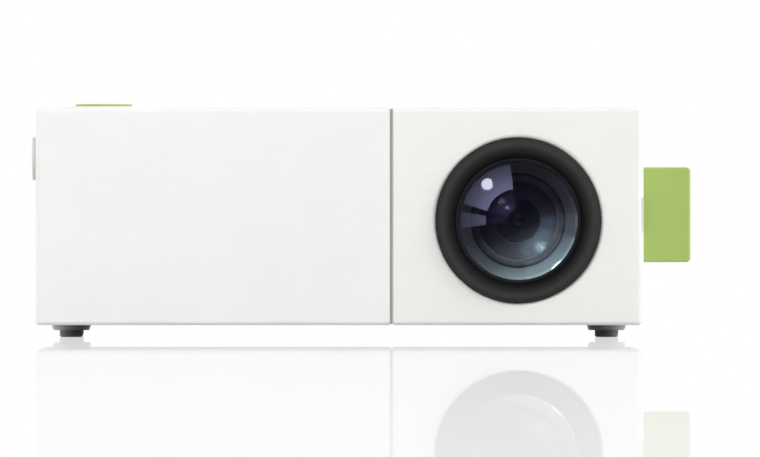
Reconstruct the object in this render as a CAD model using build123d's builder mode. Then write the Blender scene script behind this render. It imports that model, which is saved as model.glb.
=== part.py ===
"""Home projector: a two-block white case with a folded light path and a sliding focus tab.

The frame is +Z up, +X to the right seen from the front, and the lens looks along -Y.
The origin is the middle of the whole object's box, on the surface that the feet stand on.
All sizes are millimetres.
"""

import math
import os

from build123d import *

os.makedirs("parts", exist_ok=True)

# ------------------------------------------------------------------ driving dimensions
case_width = 138.0
case_depth = 85.0
case_height = 49.5
wall = 2.0
edge_radius = 1.0
lower_edge_radius = 0.9
seam_from_left = 81.05
seam_gap = 0.8

foot_height = 2.8
foot_from_side = 7.87
rear_foot_outset = 1.0
foot_from_front = 13.0
collar_top_radius = 4.6
collar_lower_radius = 4.1
collar_depth = 1.2
pad_radius = 2.65

lens_from_right = 28.1
lens_height = 23.8
ring_radius = 18.7
ring_bore_radius = 14.4
ring_proud = 1.2
focus_travel = 3.5

tab_gap = 0.75
tab_width = 10.65
tab_height = 21.7
tab_thickness = 2.8
tab_corner_radius = 1.0
tab_middle_height = 25.15
arm_from_front = 17.5

nav_from_left = 15.17
nav_from_front = 20.0
nav_radius = 6.5
nav_proud = 0.96
rim_height = 0.45
key_proud = 0.25

power_from_front = 17.0
power_height = 38.0
power_radius = 5.0
power_proud = 1.1

fit_gap = 0.05  # between a screw's shank and its hole

# ------------------------------------------------------------------ the case's faces
tab_reach = tab_gap + tab_width
left = -(case_width + tab_reach + power_proud) / 2 + power_proud
right = left + case_width
front = -(case_depth + ring_proud) / 2 + ring_proud
back = front + case_depth
bottom = foot_height
top = bottom + case_height

inner_left = left + wall
inner_right = right - wall
inner_front = front + wall
inner_back = back - wall
inner_top = top - wall
seam_left = left + seam_from_left - seam_gap / 2
seam_right = left + seam_from_left + seam_gap / 2
plate_under = bottom + 0.3
plate_top = plate_under + 2.0

lens_x = right - lens_from_right
lens_z = bottom + lens_height
lens_axis = Axis((lens_x, front, lens_z), (0, 1, 0))
lens_plane = Plane(origin=(lens_x, front, lens_z), x_dir=(1, 0, 0), z_dir=(0, 0, 1))

light_y = front + 52.0
tab_z = bottom + tab_middle_height
arm_y = front + arm_from_front
nav_x = left + nav_from_left
nav_y = front + nav_from_front
power_y = front + power_from_front
power_z = bottom + power_height


# ------------------------------------------------------------------ small helpers
def save(piece, label):
    """Names one finished piece and writes it as its own node."""
    piece.part.label = label
    export_step(piece.part, f"parts/{label}.step")


def block(x0, x1, y0, y1, z0, z1, mode=Mode.ADD):
    """A box between two corners, in the part being built."""
    with Locations(((x0 + x1) / 2, (y0 + y1) / 2, (z0 + z1) / 2)):
        Box(x1 - x0, y1 - y0, z1 - z0, mode=mode)


def rod(start, direction, radius, length, mode=Mode.ADD):
    """A cylinder that begins at start and runs along direction."""
    with Locations(Plane(origin=start, z_dir=direction)):
        Cylinder(radius, length, align=(Align.CENTER, Align.CENTER, Align.MIN), mode=mode)


def screw(head_at, direction, head_radius, head_height, shank_radius, length):
    """A cross-head screw, its head's outer face at head_at and its shank along direction."""
    x, y, z = head_at
    dx, dy, dz = direction
    rod(head_at, direction, head_radius, head_height)
    shank_from = (x + dx * head_height, y + dy * head_height, z + dz * head_height)
    rod(shank_from, direction, shank_radius, length)
    cross_depth = head_height * 0.6
    with Locations(Plane(origin=head_at, z_dir=direction)):
        for turn in (0, 90):
            Box(
                head_radius * 1.1,
                head_radius * 0.26,
                cross_depth,
                rotation=(0, 0, turn),
                align=(Align.CENTER, Align.CENTER, Align.MIN),
                mode=Mode.SUBTRACT,
            )


def sag(sphere_radius, distance):
    """How far a spherical surface falls away at a distance from its axis."""
    return sphere_radius - math.sqrt(sphere_radius**2 - distance**2)


def surface(vertex, sphere_radius, distance, way):
    """Three points on a lens surface, from its axis to its edge; way is +1 or -1 in depth."""
    half = distance / 2
    return [
        (0, vertex),
        (half, vertex + way * sag(sphere_radius, half)),
        (distance, vertex + way * sag(sphere_radius, distance)),
    ]


UP, DOWN = (0, 0, 1), (0, 0, -1)
INWARD, OUTWARD = (0, 1, 0), (0, -1, 0)
RIGHTWARD, LEFTWARD = (1, 0, 0), (-1, 0, 0)

# ------------------------------------------------------------------ shared positions
boss_radius = 2.4
shank_radius = 1.1
corner_bosses = [(left + 5.3, front + 5.6), (left + 5.3, back - 4.9)]
main_bosses = corner_bosses + [(left + 73.5, front + 5.6), (left + 73.5, back - 4.8)]
lens_bosses = [
    (left + 87.6, front + 5.6),
    (left + 87.6, back - 4.8),
    (right - 6.4, front + 5.6),
    (right - 5.3, back - 4.9),
]
foot_rows = [
    (front + foot_from_front, foot_from_side),
    (back - foot_from_front, foot_from_side - rear_foot_outset),
]
foot_places = [(x, y) for y, inset in foot_rows for x in (left + inset, right - inset)]

# The sockets stand on the main board. These are the middles of their mouths.
board_under = bottom + 6.0
board_top = board_under + 1.6
audio_y = front + 14.0
av_y = front + 24.0
card_y = front + 37.5
usb_y = front + 53.5
dc_y = front + 68.0
jack_z = board_top + 2.8
usb_z = board_top + 2.85
card_z = board_top + 0.95
dc_z = board_top + 5.5
hdmi_x = left + 17.2
hdmi_z = board_top + 2.8
jack_bore_radius = 1.8

ir_x, ir_z = left + 17.2, bottom + 30.0
speaker_y, speaker_z = front + 51.0, bottom + 29.0
speaker_radius = 10.0

fan_x, fan_z = left + 35.0, bottom + 24.0
fan_front, fan_back = front + 15.5, front + 23.5
fan_half = 15.0

nav_hole_radius = 6.8
rim_radius = 8.65
nav_pivot_z = bottom + 45.0
key_y = nav_y + 13.0
key_places = {"menu_button": nav_x - 4.0, "source_button": nav_x + 4.0}
key_length, key_width = 5.0, 2.6
pad_board_under = bottom + 42.0
pad_board_top = pad_board_under + 1.2
pad_posts = [
    (nav_x + x, nav_y + y)
    for x, y in ((-8.2, -8.2), (8.2, -8.2), (-8.2, 8.6), (8.2, 8.6))
]
power_board_x = left + 6.2
power_posts = [(power_y - 7.2, power_z), (power_y + 7.2, power_z)]
ir_posts = [(ir_x - 6.6, ir_z), (ir_x + 6.6, ir_z)]
ir_board_y = inner_back - 6.0

# ------------------------------------------------------------------ case: left-hand shell
# The left-hand part of the case is three mouldings: a shell with the front and left walls,
# a top panel let in between the walls, and a rear panel across the back.
panel_gap = 0.1
with BuildPart() as outline:
    block(left, seam_left, front, back, bottom, top)
    uprights = outline.edges().filter_by(Axis.Z).group_by(Axis.X)[0]
    upper = outline.faces().sort_by(Axis.Z)[-1].edges().sort_by(Axis.X)[:-1]
    fillet(uprights + upper, edge_radius)
    lower = outline.faces().sort_by(Axis.Z)[0].edges().sort_by(Axis.X)[:-1]
    fillet(lower, lower_edge_radius)

with BuildPart() as main_shell:
    add(outline.part)
    block(left - 1, seam_left + 1, inner_back - panel_gap, back + 1, bottom - 1, top + 1, Mode.SUBTRACT)
    block(inner_left, seam_left + 1, inner_front, back, bottom - 1, top + 1, Mode.SUBTRACT)
    # ledges that the top panel rests on
    for y in (inner_front + 18.0, inner_front + 62.0):
        block(inner_left, inner_left + 1.0, y, y + 8.0, inner_top - 1.2, inner_top)
    for x in (left + 38.0, left + 62.0):
        block(x, x + 8.0, inner_front, inner_front + 1.0, inner_top - 1.2, inner_top)
    # posts for the power button's board and the speaker's collar
    for y, z in power_posts:
        rod((inner_left, y, z), RIGHTWARD, 1.3, power_board_x - inner_left)
    collar_at = (inner_left, speaker_y, speaker_z)
    rod(collar_at, RIGHTWARD, speaker_radius + 1.3, 2.6)
    rod(collar_at, RIGHTWARD, speaker_radius + 0.3, 2.6, Mode.SUBTRACT)
    for y, z in power_posts:
        rod((power_board_x, y, z), LEFTWARD, 0.75, 3.0, Mode.SUBTRACT)
    # openings in the left side: power button, speaker holes and the row of sockets
    rod((left - 1, power_y, power_z), RIGHTWARD, power_radius + 0.2, 5.0, Mode.SUBTRACT)
    with BuildSketch(Plane(origin=(left, speaker_y, speaker_z), z_dir=RIGHTWARD)):
        Circle(0.6)
        for ring in (1, 2, 3):
            with PolarLocations(2.4 * ring, 6 * ring):
                Circle(0.6)
    extrude(amount=3.0, both=True, mode=Mode.SUBTRACT)
    for y in (audio_y, av_y):
        rod((left - 1, y, jack_z), RIGHTWARD, 2.6, 4.0, Mode.SUBTRACT)
    rod((left - 1, dc_y, dc_z), RIGHTWARD, 3.9, 4.0, Mode.SUBTRACT)
    block(left - 1, inner_left + 1, usb_y - 6.8, usb_y + 6.8, usb_z - 3.1, usb_z + 3.1, Mode.SUBTRACT)
    block(
        left - 1,
        inner_left + 1,
        card_y - 7.5,
        card_y + 7.5,
        card_z - 1.2,
        card_z + 1.2,
        Mode.SUBTRACT,
    )
save(main_shell, "main_shell")

with BuildPart() as top_panel:
    block(
        inner_left + panel_gap,
        seam_left,
        inner_front + panel_gap,
        inner_back - panel_gap,
        inner_top,
        top,
    )
    # raised rim around the navigation disc
    with Locations((nav_x, nav_y, top)):
        Cone(
            rim_radius,
            nav_hole_radius + 0.2,
            rim_height,
            align=(Align.CENTER, Align.CENTER, Align.MIN),
        )
    # rib that holds the fan's upper edge
    block(fan_x - 2, fan_x + 2, fan_front - 1.5, fan_back + 1.5, fan_z + fan_half - 2.0, inner_top)
    block(fan_x - 3, fan_x + 3, fan_front - 0.1, fan_back + 0.1, bottom, fan_z + fan_half, Mode.SUBTRACT)
    # screw bosses and posts for the keypad board
    for x, y in main_bosses:
        rod((x, y, inner_top), DOWN, boss_radius, inner_top - plate_top - fit_gap)
    for x, y in pad_posts:
        rod((x, y, inner_top), DOWN, 1.9, inner_top - pad_board_top)
    for x, y in main_bosses:
        rod((x, y, plate_top), UP, shank_radius + fit_gap, 9.0, Mode.SUBTRACT)
    for x, y in pad_posts:
        rod((x, y, pad_board_top), UP, 0.9, 3.0, Mode.SUBTRACT)
    # openings: navigation disc and two keys
    rod((nav_x, nav_y, inner_top - 1), UP, nav_hole_radius, 5.0, Mode.SUBTRACT)
    with BuildSketch(Plane.XY.offset(inner_top - 1)):
        with Locations(*[(x, key_y) for x in key_places.values()]):
            SlotOverall(key_length + 0.4, key_width + 0.4)
    extrude(amount=5.0, mode=Mode.SUBTRACT)
save(top_panel, "top_panel")

with BuildPart() as rear_panel:
    add(outline.part)
    block(left - 1, seam_left + 1, front - 1, inner_back, bottom - 1, top + 1, Mode.SUBTRACT)
    for x, z in ir_posts:
        rod((x, inner_back, z), OUTWARD, 1.4, inner_back - ir_board_y - 1.0)
    for x, z in ir_posts:
        rod((x, ir_board_y + 1.0, z), INWARD, 0.75, 3.0, Mode.SUBTRACT)
    # openings: video socket, infrared window and the exhaust slots
    block(
        hdmi_x - 7.75,
        hdmi_x + 7.75,
        inner_back - 1,
        back + 1,
        hdmi_z - 3.05,
        hdmi_z + 3.05,
        Mode.SUBTRACT,
    )
    with BuildSketch(Plane(origin=(ir_x, inner_back - 1, ir_z), x_dir=(1, 0, 0), z_dir=INWARD)):
        SlotOverall(8.4, 5.4)
    extrude(amount=5.0, mode=Mode.SUBTRACT)
    exhaust_plane = Plane(
        origin=(left + 34.7, inner_back - 1, bottom + 24.5), x_dir=(1, 0, 0), z_dir=INWARD
    )
    with BuildSketch(exhaust_plane):
        with GridLocations(1, 3.0, 1, 13):
            SlotOverall(11.0, 1.4)
    extrude(amount=5.0, mode=Mode.SUBTRACT)
save(rear_panel, "rear_panel")

# ------------------------------------------------------------------ case: lens-side shell
slot_half_length = tab_thickness / 2 + 0.1 + focus_travel + 0.4
slot_half_height = 4.2
shutter_half_height = 5.8
with BuildPart() as lens_shell:
    block(seam_right, right, front, back, bottom, top)
    uprights = lens_shell.edges().filter_by(Axis.Z).group_by(Axis.X)[-1]
    upper = lens_shell.faces().sort_by(Axis.Z)[-1].edges().sort_by(Axis.X)[1:]
    fillet(uprights + upper, edge_radius)
    lower = lens_shell.faces().sort_by(Axis.Z)[0].edges().sort_by(Axis.X)[1:]
    fillet(lower, lower_edge_radius)
    block(
        seam_right - 1, inner_right, inner_front, inner_back, bottom - 1, inner_top, Mode.SUBTRACT
    )
    for x, y in lens_bosses:
        rod((x, y, inner_top), DOWN, boss_radius, inner_top - plate_top - fit_gap)
    # rails that guide the shutter behind the focus slot
    for side in (-1, 1):
        rail_z = tab_z + side * (shutter_half_height + 0.9)
        block(
            inner_right - 2.6,
            inner_right,
            front + 8.5,
            front + 31.0,
            rail_z - 0.7,
            rail_z + 0.7,
        )
    for x, y in lens_bosses:
        rod((x, y, plate_top), UP, shank_radius + fit_gap, 9.0, Mode.SUBTRACT)
    # mouth for the lens, its front edge rounded
    rod((lens_x, front - 1, lens_z), INWARD, ring_radius + 0.1, 4.0, Mode.SUBTRACT)
    mouth_edge = lens_shell.edges().filter_by(GeomType.CIRCLE).sort_by(Axis.Y)[0]
    fillet(mouth_edge, 0.95)
    # slot for the focus tab's neck
    slot_plane = Plane(origin=(inner_right - 1, arm_y, tab_z), x_dir=(0, 1, 0), z_dir=RIGHTWARD)
    with BuildSketch(slot_plane):
        RectangleRounded(2 * slot_half_length, 2 * slot_half_height, 1.2)
    extrude(amount=5.0, mode=Mode.SUBTRACT)
save(lens_shell, "lens_shell")

# ------------------------------------------------------------------ case: band in the seam
band_thickness = 1.4
band_half_width = 3.5
seam_x = left + seam_from_left
with BuildPart() as seam_band:
    block(
        seam_x - band_half_width,
        seam_x + band_half_width,
        inner_front + fit_gap,
        inner_back - fit_gap,
        plate_top + fit_gap,
        inner_top - fit_gap,
    )
    block(seam_left + 0.03, seam_right - 0.03, front + 0.25, back - 0.25, bottom + 0.25, top - 0.25)
    block(
        seam_x - band_half_width - 1,
        seam_x + band_half_width + 1,
        inner_front + fit_gap + band_thickness,
        inner_back - fit_gap - band_thickness,
        bottom,
        inner_top - fit_gap - band_thickness,
        Mode.SUBTRACT,
    )
    # room for the base plate, which crosses the seam
    block(
        seam_left - 1,
        seam_right + 1,
        inner_front + 0.1,
        inner_back - 0.1,
        bottom,
        plate_top + fit_gap,
        Mode.SUBTRACT,
    )
save(seam_band, "seam_band")

# ------------------------------------------------------------------ case: base plate
board_screw_places = [(left + 24.8, front + y) for y in (10.8, 40.0, 69.5)]
engine_floor = bottom + 3.8
engine_post_places = [
    (left + 50.0, front + 40.0),
    (left + 50.0, front + 66.0),
    (left + 100.0, front + 38.0),
    (left + 92.0, front + 64.0),
]
tripod_x, tripod_y = left + 69.0, front + 14.0
insert_radius = 5.0
insert_length = 7.0
thread_radius = 2.55
with BuildPart() as base_plate:
    block(
        inner_left + 0.15,
        inner_right - 0.15,
        inner_front + 0.15,
        inner_back - 0.15,
        plate_under,
        plate_top,
    )
    fillet(base_plate.edges().filter_by(Axis.Z), 0.8)
    for x, y in board_screw_places:
        rod((x, y, plate_top), UP, 2.2, board_under - plate_top)
    for x, y in engine_post_places:
        rod((x, y, plate_top), UP, 2.6, engine_floor - plate_top)
    rod((tripod_x, tripod_y, plate_top), UP, insert_radius + 2, plate_under + insert_length - plate_top)
    rod((tripod_x, tripod_y, bottom), UP, insert_radius + 0.01, 10.0, Mode.SUBTRACT)
    for x, y in main_bosses + lens_bosses:
        rod((x, y, bottom), UP, shank_radius + 0.2, 3.0, Mode.SUBTRACT)
        rod((x, y, bottom), UP, 2.6, 1.5, Mode.SUBTRACT)
    for x, y in board_screw_places + engine_post_places:
        rod((x, y, plate_top), UP, 0.9, 5.0, Mode.SUBTRACT)
    for x, y in foot_places:
        rod((x, y, bottom), UP, 2.05, 3.0, Mode.SUBTRACT)
    # air intake under the fan
    with BuildSketch(Plane.XY.offset(bottom)):
        with Locations((left + 43.0, front + 8.9)):
            with GridLocations(3.2, 1, 8, 1):
                SlotOverall(9.0, 1.6, rotation=90)
    extrude(amount=4.0, mode=Mode.SUBTRACT)
save(base_plate, "base_plate")

with BuildPart() as base_screws:
    for x, y in main_bosses + lens_bosses:
        screw((x, y, plate_under + 0.2), UP, 2.3, 1.0, shank_radius, 8.5)
save(base_screws, "base_screws")

with BuildPart() as tripod_insert:
    rod((tripod_x, tripod_y, plate_under), UP, insert_radius, insert_length)
    chamfer(tripod_insert.edges().group_by(Axis.Z)[-1], 0.4)
    rod((tripod_x, tripod_y, bottom), UP, thread_radius, 12.0, Mode.SUBTRACT)
save(tripod_insert, "tripod_insert")

# ------------------------------------------------------------------ feet
collar_bottom = bottom - collar_depth
with BuildPart() as foot_collars:
    for x, y in foot_places:
        with Locations((x, y, collar_bottom)):
            Cone(
                collar_lower_radius,
                collar_top_radius,
                plate_under - collar_bottom,
                align=(Align.CENTER, Align.CENTER, Align.MIN),
            )
        rod((x, y, plate_under), UP, 2.0, 2.8)
        rod((x, y, collar_bottom - 1), UP, 1.35, 3.6, Mode.SUBTRACT)
save(foot_collars, "foot_collars")

with BuildPart() as foot_pads:
    for x, y in foot_places:
        rod((x, y, 0), UP, pad_radius, collar_bottom)
    fillet(foot_pads.edges().filter_by(GeomType.CIRCLE).group_by(Axis.Z)[0], 0.5)
    for x, y in foot_places:
        rod((x, y, collar_bottom), UP, 1.3, 2.4)
save(foot_pads, "foot_pads")

# ------------------------------------------------------------------ lens ring in the case's mouth
with BuildPart() as lens_ring:
    with BuildSketch(lens_plane):
        with BuildLine():
            shoulder = ThreePointArc((ring_radius, 0.1), (ring_radius - 0.4, -0.85), (17.2, -ring_proud))
            slope = ThreePointArc(shoulder @ 1, (15.5, -0.55), (ring_bore_radius, 1.3))
            Polyline(
                slope @ 1,
                (ring_bore_radius, 3.0),
                (19.8, 3.0),
                (19.8, wall + 0.1),
                (ring_radius, wall + 0.1),
                shoulder @ 0,
            )
        make_face()
    revolve(axis=lens_axis)
save(lens_ring, "lens_ring")

# ------------------------------------------------------------------ lens: fixed sleeve
barrel_radius = 17.0
barrel_front, barrel_back = 6.8, 27.5
sleeve_front, sleeve_back = 3.2, 31.5
flange_half_x, flange_half_z = 19.4, 19.0
flange_screws = [(lens_x + sx * 17.0, lens_z + sz * 16.6) for sx in (-1, 1) for sz in (-1, 1)]
with BuildPart() as lens_sleeve:
    rod((lens_x, front + sleeve_front, lens_z), INWARD, 18.5, sleeve_back - sleeve_front)
    block(
        lens_x - flange_half_x,
        lens_x + flange_half_x,
        front + sleeve_back - 2.4,
        front + sleeve_back,
        lens_z - flange_half_z,
        lens_z + flange_half_z,
    )
    fillet(lens_sleeve.edges().filter_by(Axis.Y), 1.5)
    rod((lens_x, front, lens_z), INWARD, barrel_radius + 0.1, 40.0, Mode.SUBTRACT)
    block(
        lens_x + 12,
        lens_x + 20,
        arm_y - 4.0 - focus_travel - 0.5,
        arm_y + 4.0 + focus_travel + 0.5,
        tab_z - 5.2,
        tab_z + 5.2,
        Mode.SUBTRACT,
    )
    for x, z in flange_screws:
        rod((x, front + 25, z), INWARD, 1.1, 10.0, Mode.SUBTRACT)
save(lens_sleeve, "lens_sleeve")

# ------------------------------------------------------------------ lens: moving barrel and glass
nose_radius = 14.25
glass_radius = 13.85
bore_radius = 13.0
rear_bore_radius = 14.1
with BuildPart() as lens_barrel:
    with BuildSketch(lens_plane):
        with BuildLine():
            Polyline(
                (nose_radius, 1.3),
                (nose_radius, barrel_front),
                (barrel_radius, barrel_front),
                (barrel_radius, barrel_back),
                (rear_bore_radius, barrel_back),
                (rear_bore_radius, 20.2),
                (bore_radius, 20.2),
                (bore_radius, 5.0),
                (glass_radius, 5.0),
                (glass_radius, 1.3),
                close=True,
            )
        make_face()
    revolve(axis=lens_axis)
    chamfer(lens_barrel.edges().filter_by(GeomType.CIRCLE).sort_by(Axis.Y)[-1], 0.3)
    # flat seat for the focus arm, with its two screw holes
    block(lens_x + 14.2, lens_x + 17.05, arm_y - 4.0, arm_y + 4.0, tab_z - 4.6, tab_z + 4.6)
    for side in (-1, 1):
        rod((lens_x + 17.1, arm_y + side * 2.75, tab_z), LEFTWARD, 0.75, 2.4, Mode.SUBTRACT)
save(lens_barrel, "lens_barrel")

with BuildPart() as lens_retainer:
    with BuildSketch(lens_plane):
        with BuildLine():
            Polyline((13.8, 1.5), (13.8, 2.4), (13.5, 2.4), (13.65, 1.5), close=True)
        make_face()
    revolve(axis=lens_axis)
save(lens_retainer, "lens_retainer")

with BuildPart() as front_lens:
    with BuildSketch(lens_plane):
        with BuildLine():
            nose = ThreePointArc(*surface(0.55, 48.0, 13.8, 1))
            tail = ThreePointArc(*surface(5.9, 57.6, 13.8, -1))
            Line(nose @ 1, tail @ 1)
            Line(nose @ 0, tail @ 0)
        make_face()
    revolve(axis=lens_axis)
save(front_lens, "front_lens")

# light baffle: a funnel with a lip behind the front glass, a groove, and a straight throat
throat_radius = 9.0
with BuildPart() as baffle_ring:
    with BuildSketch(lens_plane):
        with BuildLine():
            Polyline(
                (13.8, 4.4),
                (12.9, 4.8),
                (10.9, 7.3),
                (10.9, 8.3),
                (10.35, 8.3),
                (10.35, 7.9),
                (9.25, 8.5),
                (throat_radius, 8.75),
                (throat_radius, 13.8),
                (12.95, 13.8),
                (12.95, 5.0),
                (13.8, 5.0),
                close=True,
            )
        make_face()
    revolve(axis=lens_axis)
save(baffle_ring, "baffle_ring")

middle_front_radius, middle_back_radius = 25.7, 33.6
with BuildPart() as middle_lens:
    with BuildSketch(lens_plane):
        with BuildLine():
            nose = ThreePointArc(*surface(12.3, middle_front_radius, throat_radius, 1))
            tail = ThreePointArc(*surface(16.3, middle_back_radius, throat_radius, -1))
            Polyline(nose @ 1, (12.95, (nose @ 1).Y), (12.95, 15.9), (throat_radius, 15.9), tail @ 1)
            Line(nose @ 0, tail @ 0)
        make_face()
    revolve(axis=lens_axis)
save(middle_lens, "middle_lens")

# stop: a shallow funnel that seats the small inner lens, then steps down to the opening
stop_radius = 1.7
seat_radius = 5.1
with BuildPart() as aperture_stop:
    with BuildSketch(lens_plane):
        with BuildLine():
            Polyline(
                (12.95, 16.4),
                (9.2, 16.4),
                (5.3, 16.9),
                (seat_radius, 17.0),
                (seat_radius, 18.3),
                (4.2, 18.3),
                (4.2, 18.6),
                (3.4, 18.7),
                (3.4, 19.0),
                (2.6, 19.1),
                (2.6, 19.3),
                (stop_radius, 19.4),
                (stop_radius, 19.6),
                (12.95, 19.6),
                close=True,
            )
        make_face()
    revolve(axis=lens_axis)
save(aperture_stop, "aperture_stop")

with BuildPart() as inner_lens:
    with BuildSketch(lens_plane):
        with BuildLine():
            nose = ThreePointArc(*surface(16.7, 16.2, 5.06, 1))
            tail = ThreePointArc(*surface(18.0, 60.0, 5.06, 1))
            Line(nose @ 1, tail @ 1)
            Line(nose @ 0, tail @ 0)
        make_face()
    revolve(axis=lens_axis)
save(inner_lens, "inner_lens")

with BuildPart() as rear_lens:
    with BuildSketch(lens_plane):
        with BuildLine():
            nose = ThreePointArc(*surface(19.8, 50.0, 14.0, 1))
            tail = ThreePointArc(*surface(26.5, 50.0, 14.0, -1))
            Line(nose @ 1, tail @ 1)
            Line(nose @ 0, tail @ 0)
        make_face()
    revolve(axis=lens_axis)
save(rear_lens, "rear_lens")

# ------------------------------------------------------------------ focus arm and tab
neck_half_height = 3.9
tongue_half_height = 3.4
tongue_half_thickness = 0.7
tongue_end = right + 8.2
shutter_x = inner_right - 1.6
with BuildPart() as focus_arm:
    block(lens_x + 17.05, lens_x + 18.9, arm_y - 4.0, arm_y + 4.0, tab_z - 4.6, tab_z + 4.6)
    block(
        lens_x + 18.0,
        right + tab_gap,
        arm_y - 1.5,
        arm_y + 1.5,
        tab_z - neck_half_height,
        tab_z + neck_half_height,
    )
    block(
        shutter_x,
        shutter_x + 1.0,
        arm_y - 9.6,
        arm_y + 9.6,
        tab_z - shutter_half_height,
        tab_z + shutter_half_height,
    )
    block(
        right,
        tongue_end,
        arm_y - tongue_half_thickness,
        arm_y + tongue_half_thickness,
        tab_z - tongue_half_height,
        tab_z + tongue_half_height,
    )
    for side in (-1, 1):
        rod((lens_x + 16.5, arm_y + side * 2.75, tab_z), RIGHTWARD, 0.8, 3.0, Mode.SUBTRACT)
save(focus_arm, "focus_arm")

with BuildPart() as focus_screws:
    for side in (-1, 1):
        screw((lens_x + 19.7, arm_y + side * 2.75, tab_z), LEFTWARD, 1.15, 0.8, 0.7, 3.6)
save(focus_screws, "focus_screws")

with BuildPart() as focus_tab:
    tab_plane = Plane(
        origin=(right + tab_gap, arm_y, tab_z), x_dir=(1, 0, 0), z_dir=OUTWARD
    )
    with BuildSketch(tab_plane):
        with Locations((tab_width / 2, 0)):
            Rectangle(tab_width, tab_height)
        fillet(vertices().group_by(Axis.X)[-1], tab_corner_radius)
    extrude(amount=tab_thickness / 2, both=True)
    rims = focus_tab.faces().filter_by(Axis.Y).edges().filter_by(
        lambda e: e.center().X > right + tab_gap + 0.2
    )
    fillet(rims, 0.5)
    block(
        right,
        tongue_end + 0.1,
        arm_y - tongue_half_thickness - 0.02,
        arm_y + tongue_half_thickness + 0.02,
        tab_z - tongue_half_height - 0.02,
        tab_z + tongue_half_height + 0.02,
        Mode.SUBTRACT,
    )
save(focus_tab, "focus_tab")

# ------------------------------------------------------------------ light engine
tray_wall = 1.6
lid_under = bottom + 44.0
lid_thickness = 1.5
tray_outline = [
    (left + 42.0, front + 26.5),
    (left + 86.0, front + 26.5),
    (left + 86.0, front + 31.5),
    (left + 129.5, front + 31.5),
    (left + 129.5, front + 37.5),
    (left + 90.5, front + 76.5),
    (left + 86.0, front + 77.5),
    (left + 42.0, front + 77.5),
]
engine_screw_places = [
    (left + 45.2, front + 29.7),
    (left + 45.2, front + 74.3),
    (left + 74.9, front + 29.7),
    (left + 74.9, front + 74.3),
    (left + 89.2, front + 35.0),
]
light_plane = Plane(origin=(left, light_y, lens_z), x_dir=(0, 1, 0), z_dir=RIGHTWARD)
mirror_middle = (lens_x, light_y, lens_z)
mirror_plane = Plane(origin=mirror_middle, x_dir=(1, -1, 0), z_dir=(1, 1, 0))
mirror_length = 43.0
mirror_height = 2 * (lens_z - engine_floor - tray_wall)
mirror_thickness = 5.0 / math.sqrt(2) - tray_wall
rear_fresnel_x = left + 70.0
heat_glass_x = left + 61.0
lcd_x = left + 78.0
front_fresnel_x = left + 82.0
pane_half_width, pane_half_height = 23.4, 18.9
panes = {
    "heat_glass": (heat_glass_x, 1.1),
    "rear_fresnel": (rear_fresnel_x, 1.8),
    "lcd_panel": (lcd_x, 2.2),
    "front_fresnel": (front_fresnel_x, 1.8),
}
tray_inside_front = front + 26.5 + tray_wall
tray_inside_back = front + 77.5 - tray_wall

with BuildPart() as engine_tray:
    with BuildSketch(Plane.XY.offset(engine_floor)):
        with BuildLine():
            Polyline(*tray_outline, close=True)
        make_face()
    extrude(amount=lid_under - engine_floor)
    with BuildSketch(Plane.XY.offset(engine_floor + tray_wall)):
        with BuildLine():
            Polyline(*tray_outline, close=True)
        make_face()
        offset(amount=-tray_wall, kind=Kind.INTERSECTION)
    extrude(amount=lid_under - engine_floor, mode=Mode.SUBTRACT)
    # screw posts in the corners
    for x, y in engine_screw_places:
        rod((x, y, engine_floor), UP, 2.6, lid_under - engine_floor)
    for x, y in engine_screw_places:
        rod((x, y, lid_under), DOWN, 0.9, 7.0, Mode.SUBTRACT)
    # pairs of ribs that hold each pane by its edges
    for pane_x, pane_thickness in panes.values():
        for x0 in (pane_x - 1.0 - fit_gap, pane_x + pane_thickness + fit_gap):
            for y0, y1 in (
                (tray_inside_front - 0.2, light_y - pane_half_width + 1.4),
                (light_y + pane_half_width - 1.4, tray_inside_back + 0.2),
            ):
                block(x0, x0 + 1.0, y0, y1, engine_floor + tray_wall - 0.2, lid_under)
    # short legs towards the lamp's heatsink
    for sy in (-1, 1):
        for sz in (-1, 1):
            rod((left + 39.4, light_y + sy * 21, lens_z + sz * 15), RIGHTWARD, 2.2, 3.0)
    # front opening towards the lens, left-hand opening towards the lamp
    rod((lens_x, front + 30, lens_z), INWARD, 15.0, 6.0, Mode.SUBTRACT)
    rod((left + 41.0, light_y, lens_z), RIGHTWARD, 17.2, 4.0, Mode.SUBTRACT)
    for x, z in flange_screws:
        rod((x, front + 31, z), INWARD, 0.8, 4.0, Mode.SUBTRACT)
    for x, y in engine_post_places:
        rod((x, y, engine_floor - 1), UP, 1.3, 4.0, Mode.SUBTRACT)
    # gap in the floor for the panel's ribbon
    block(
        lcd_x + 0.3,
        lcd_x + 1.9,
        light_y - 8.4,
        light_y + 8.4,
        engine_floor - 1,
        engine_floor + tray_wall + 1,
        Mode.SUBTRACT,
    )
save(engine_tray, "engine_tray")

with BuildPart() as engine_lid:
    with BuildSketch(Plane.XY.offset(lid_under)):
        with BuildLine():
            Polyline(*tray_outline, close=True)
        make_face()
    extrude(amount=lid_thickness)
    for x, y in engine_screw_places:
        rod((x, y, lid_under - 1), UP, 1.15, 5.0, Mode.SUBTRACT)
save(engine_lid, "engine_lid")

with BuildPart() as engine_screws:
    for x, y in engine_screw_places:
        screw((x, y, lid_under + lid_thickness + 1.0), DOWN, 1.9, 1.0, 0.85, 6.5)
    for x, y in engine_post_places:
        screw((x, y, engine_floor + tray_wall + 0.9), DOWN, 2.0, 0.9, 0.85, 2.9)
save(engine_screws, "engine_screws")

with BuildPart() as sleeve_screws:
    for x, z in flange_screws:
        screw((x, front + sleeve_back - 3.3, z), INWARD, 1.8, 0.9, 0.75, 4.0)
save(sleeve_screws, "sleeve_screws")

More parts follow.
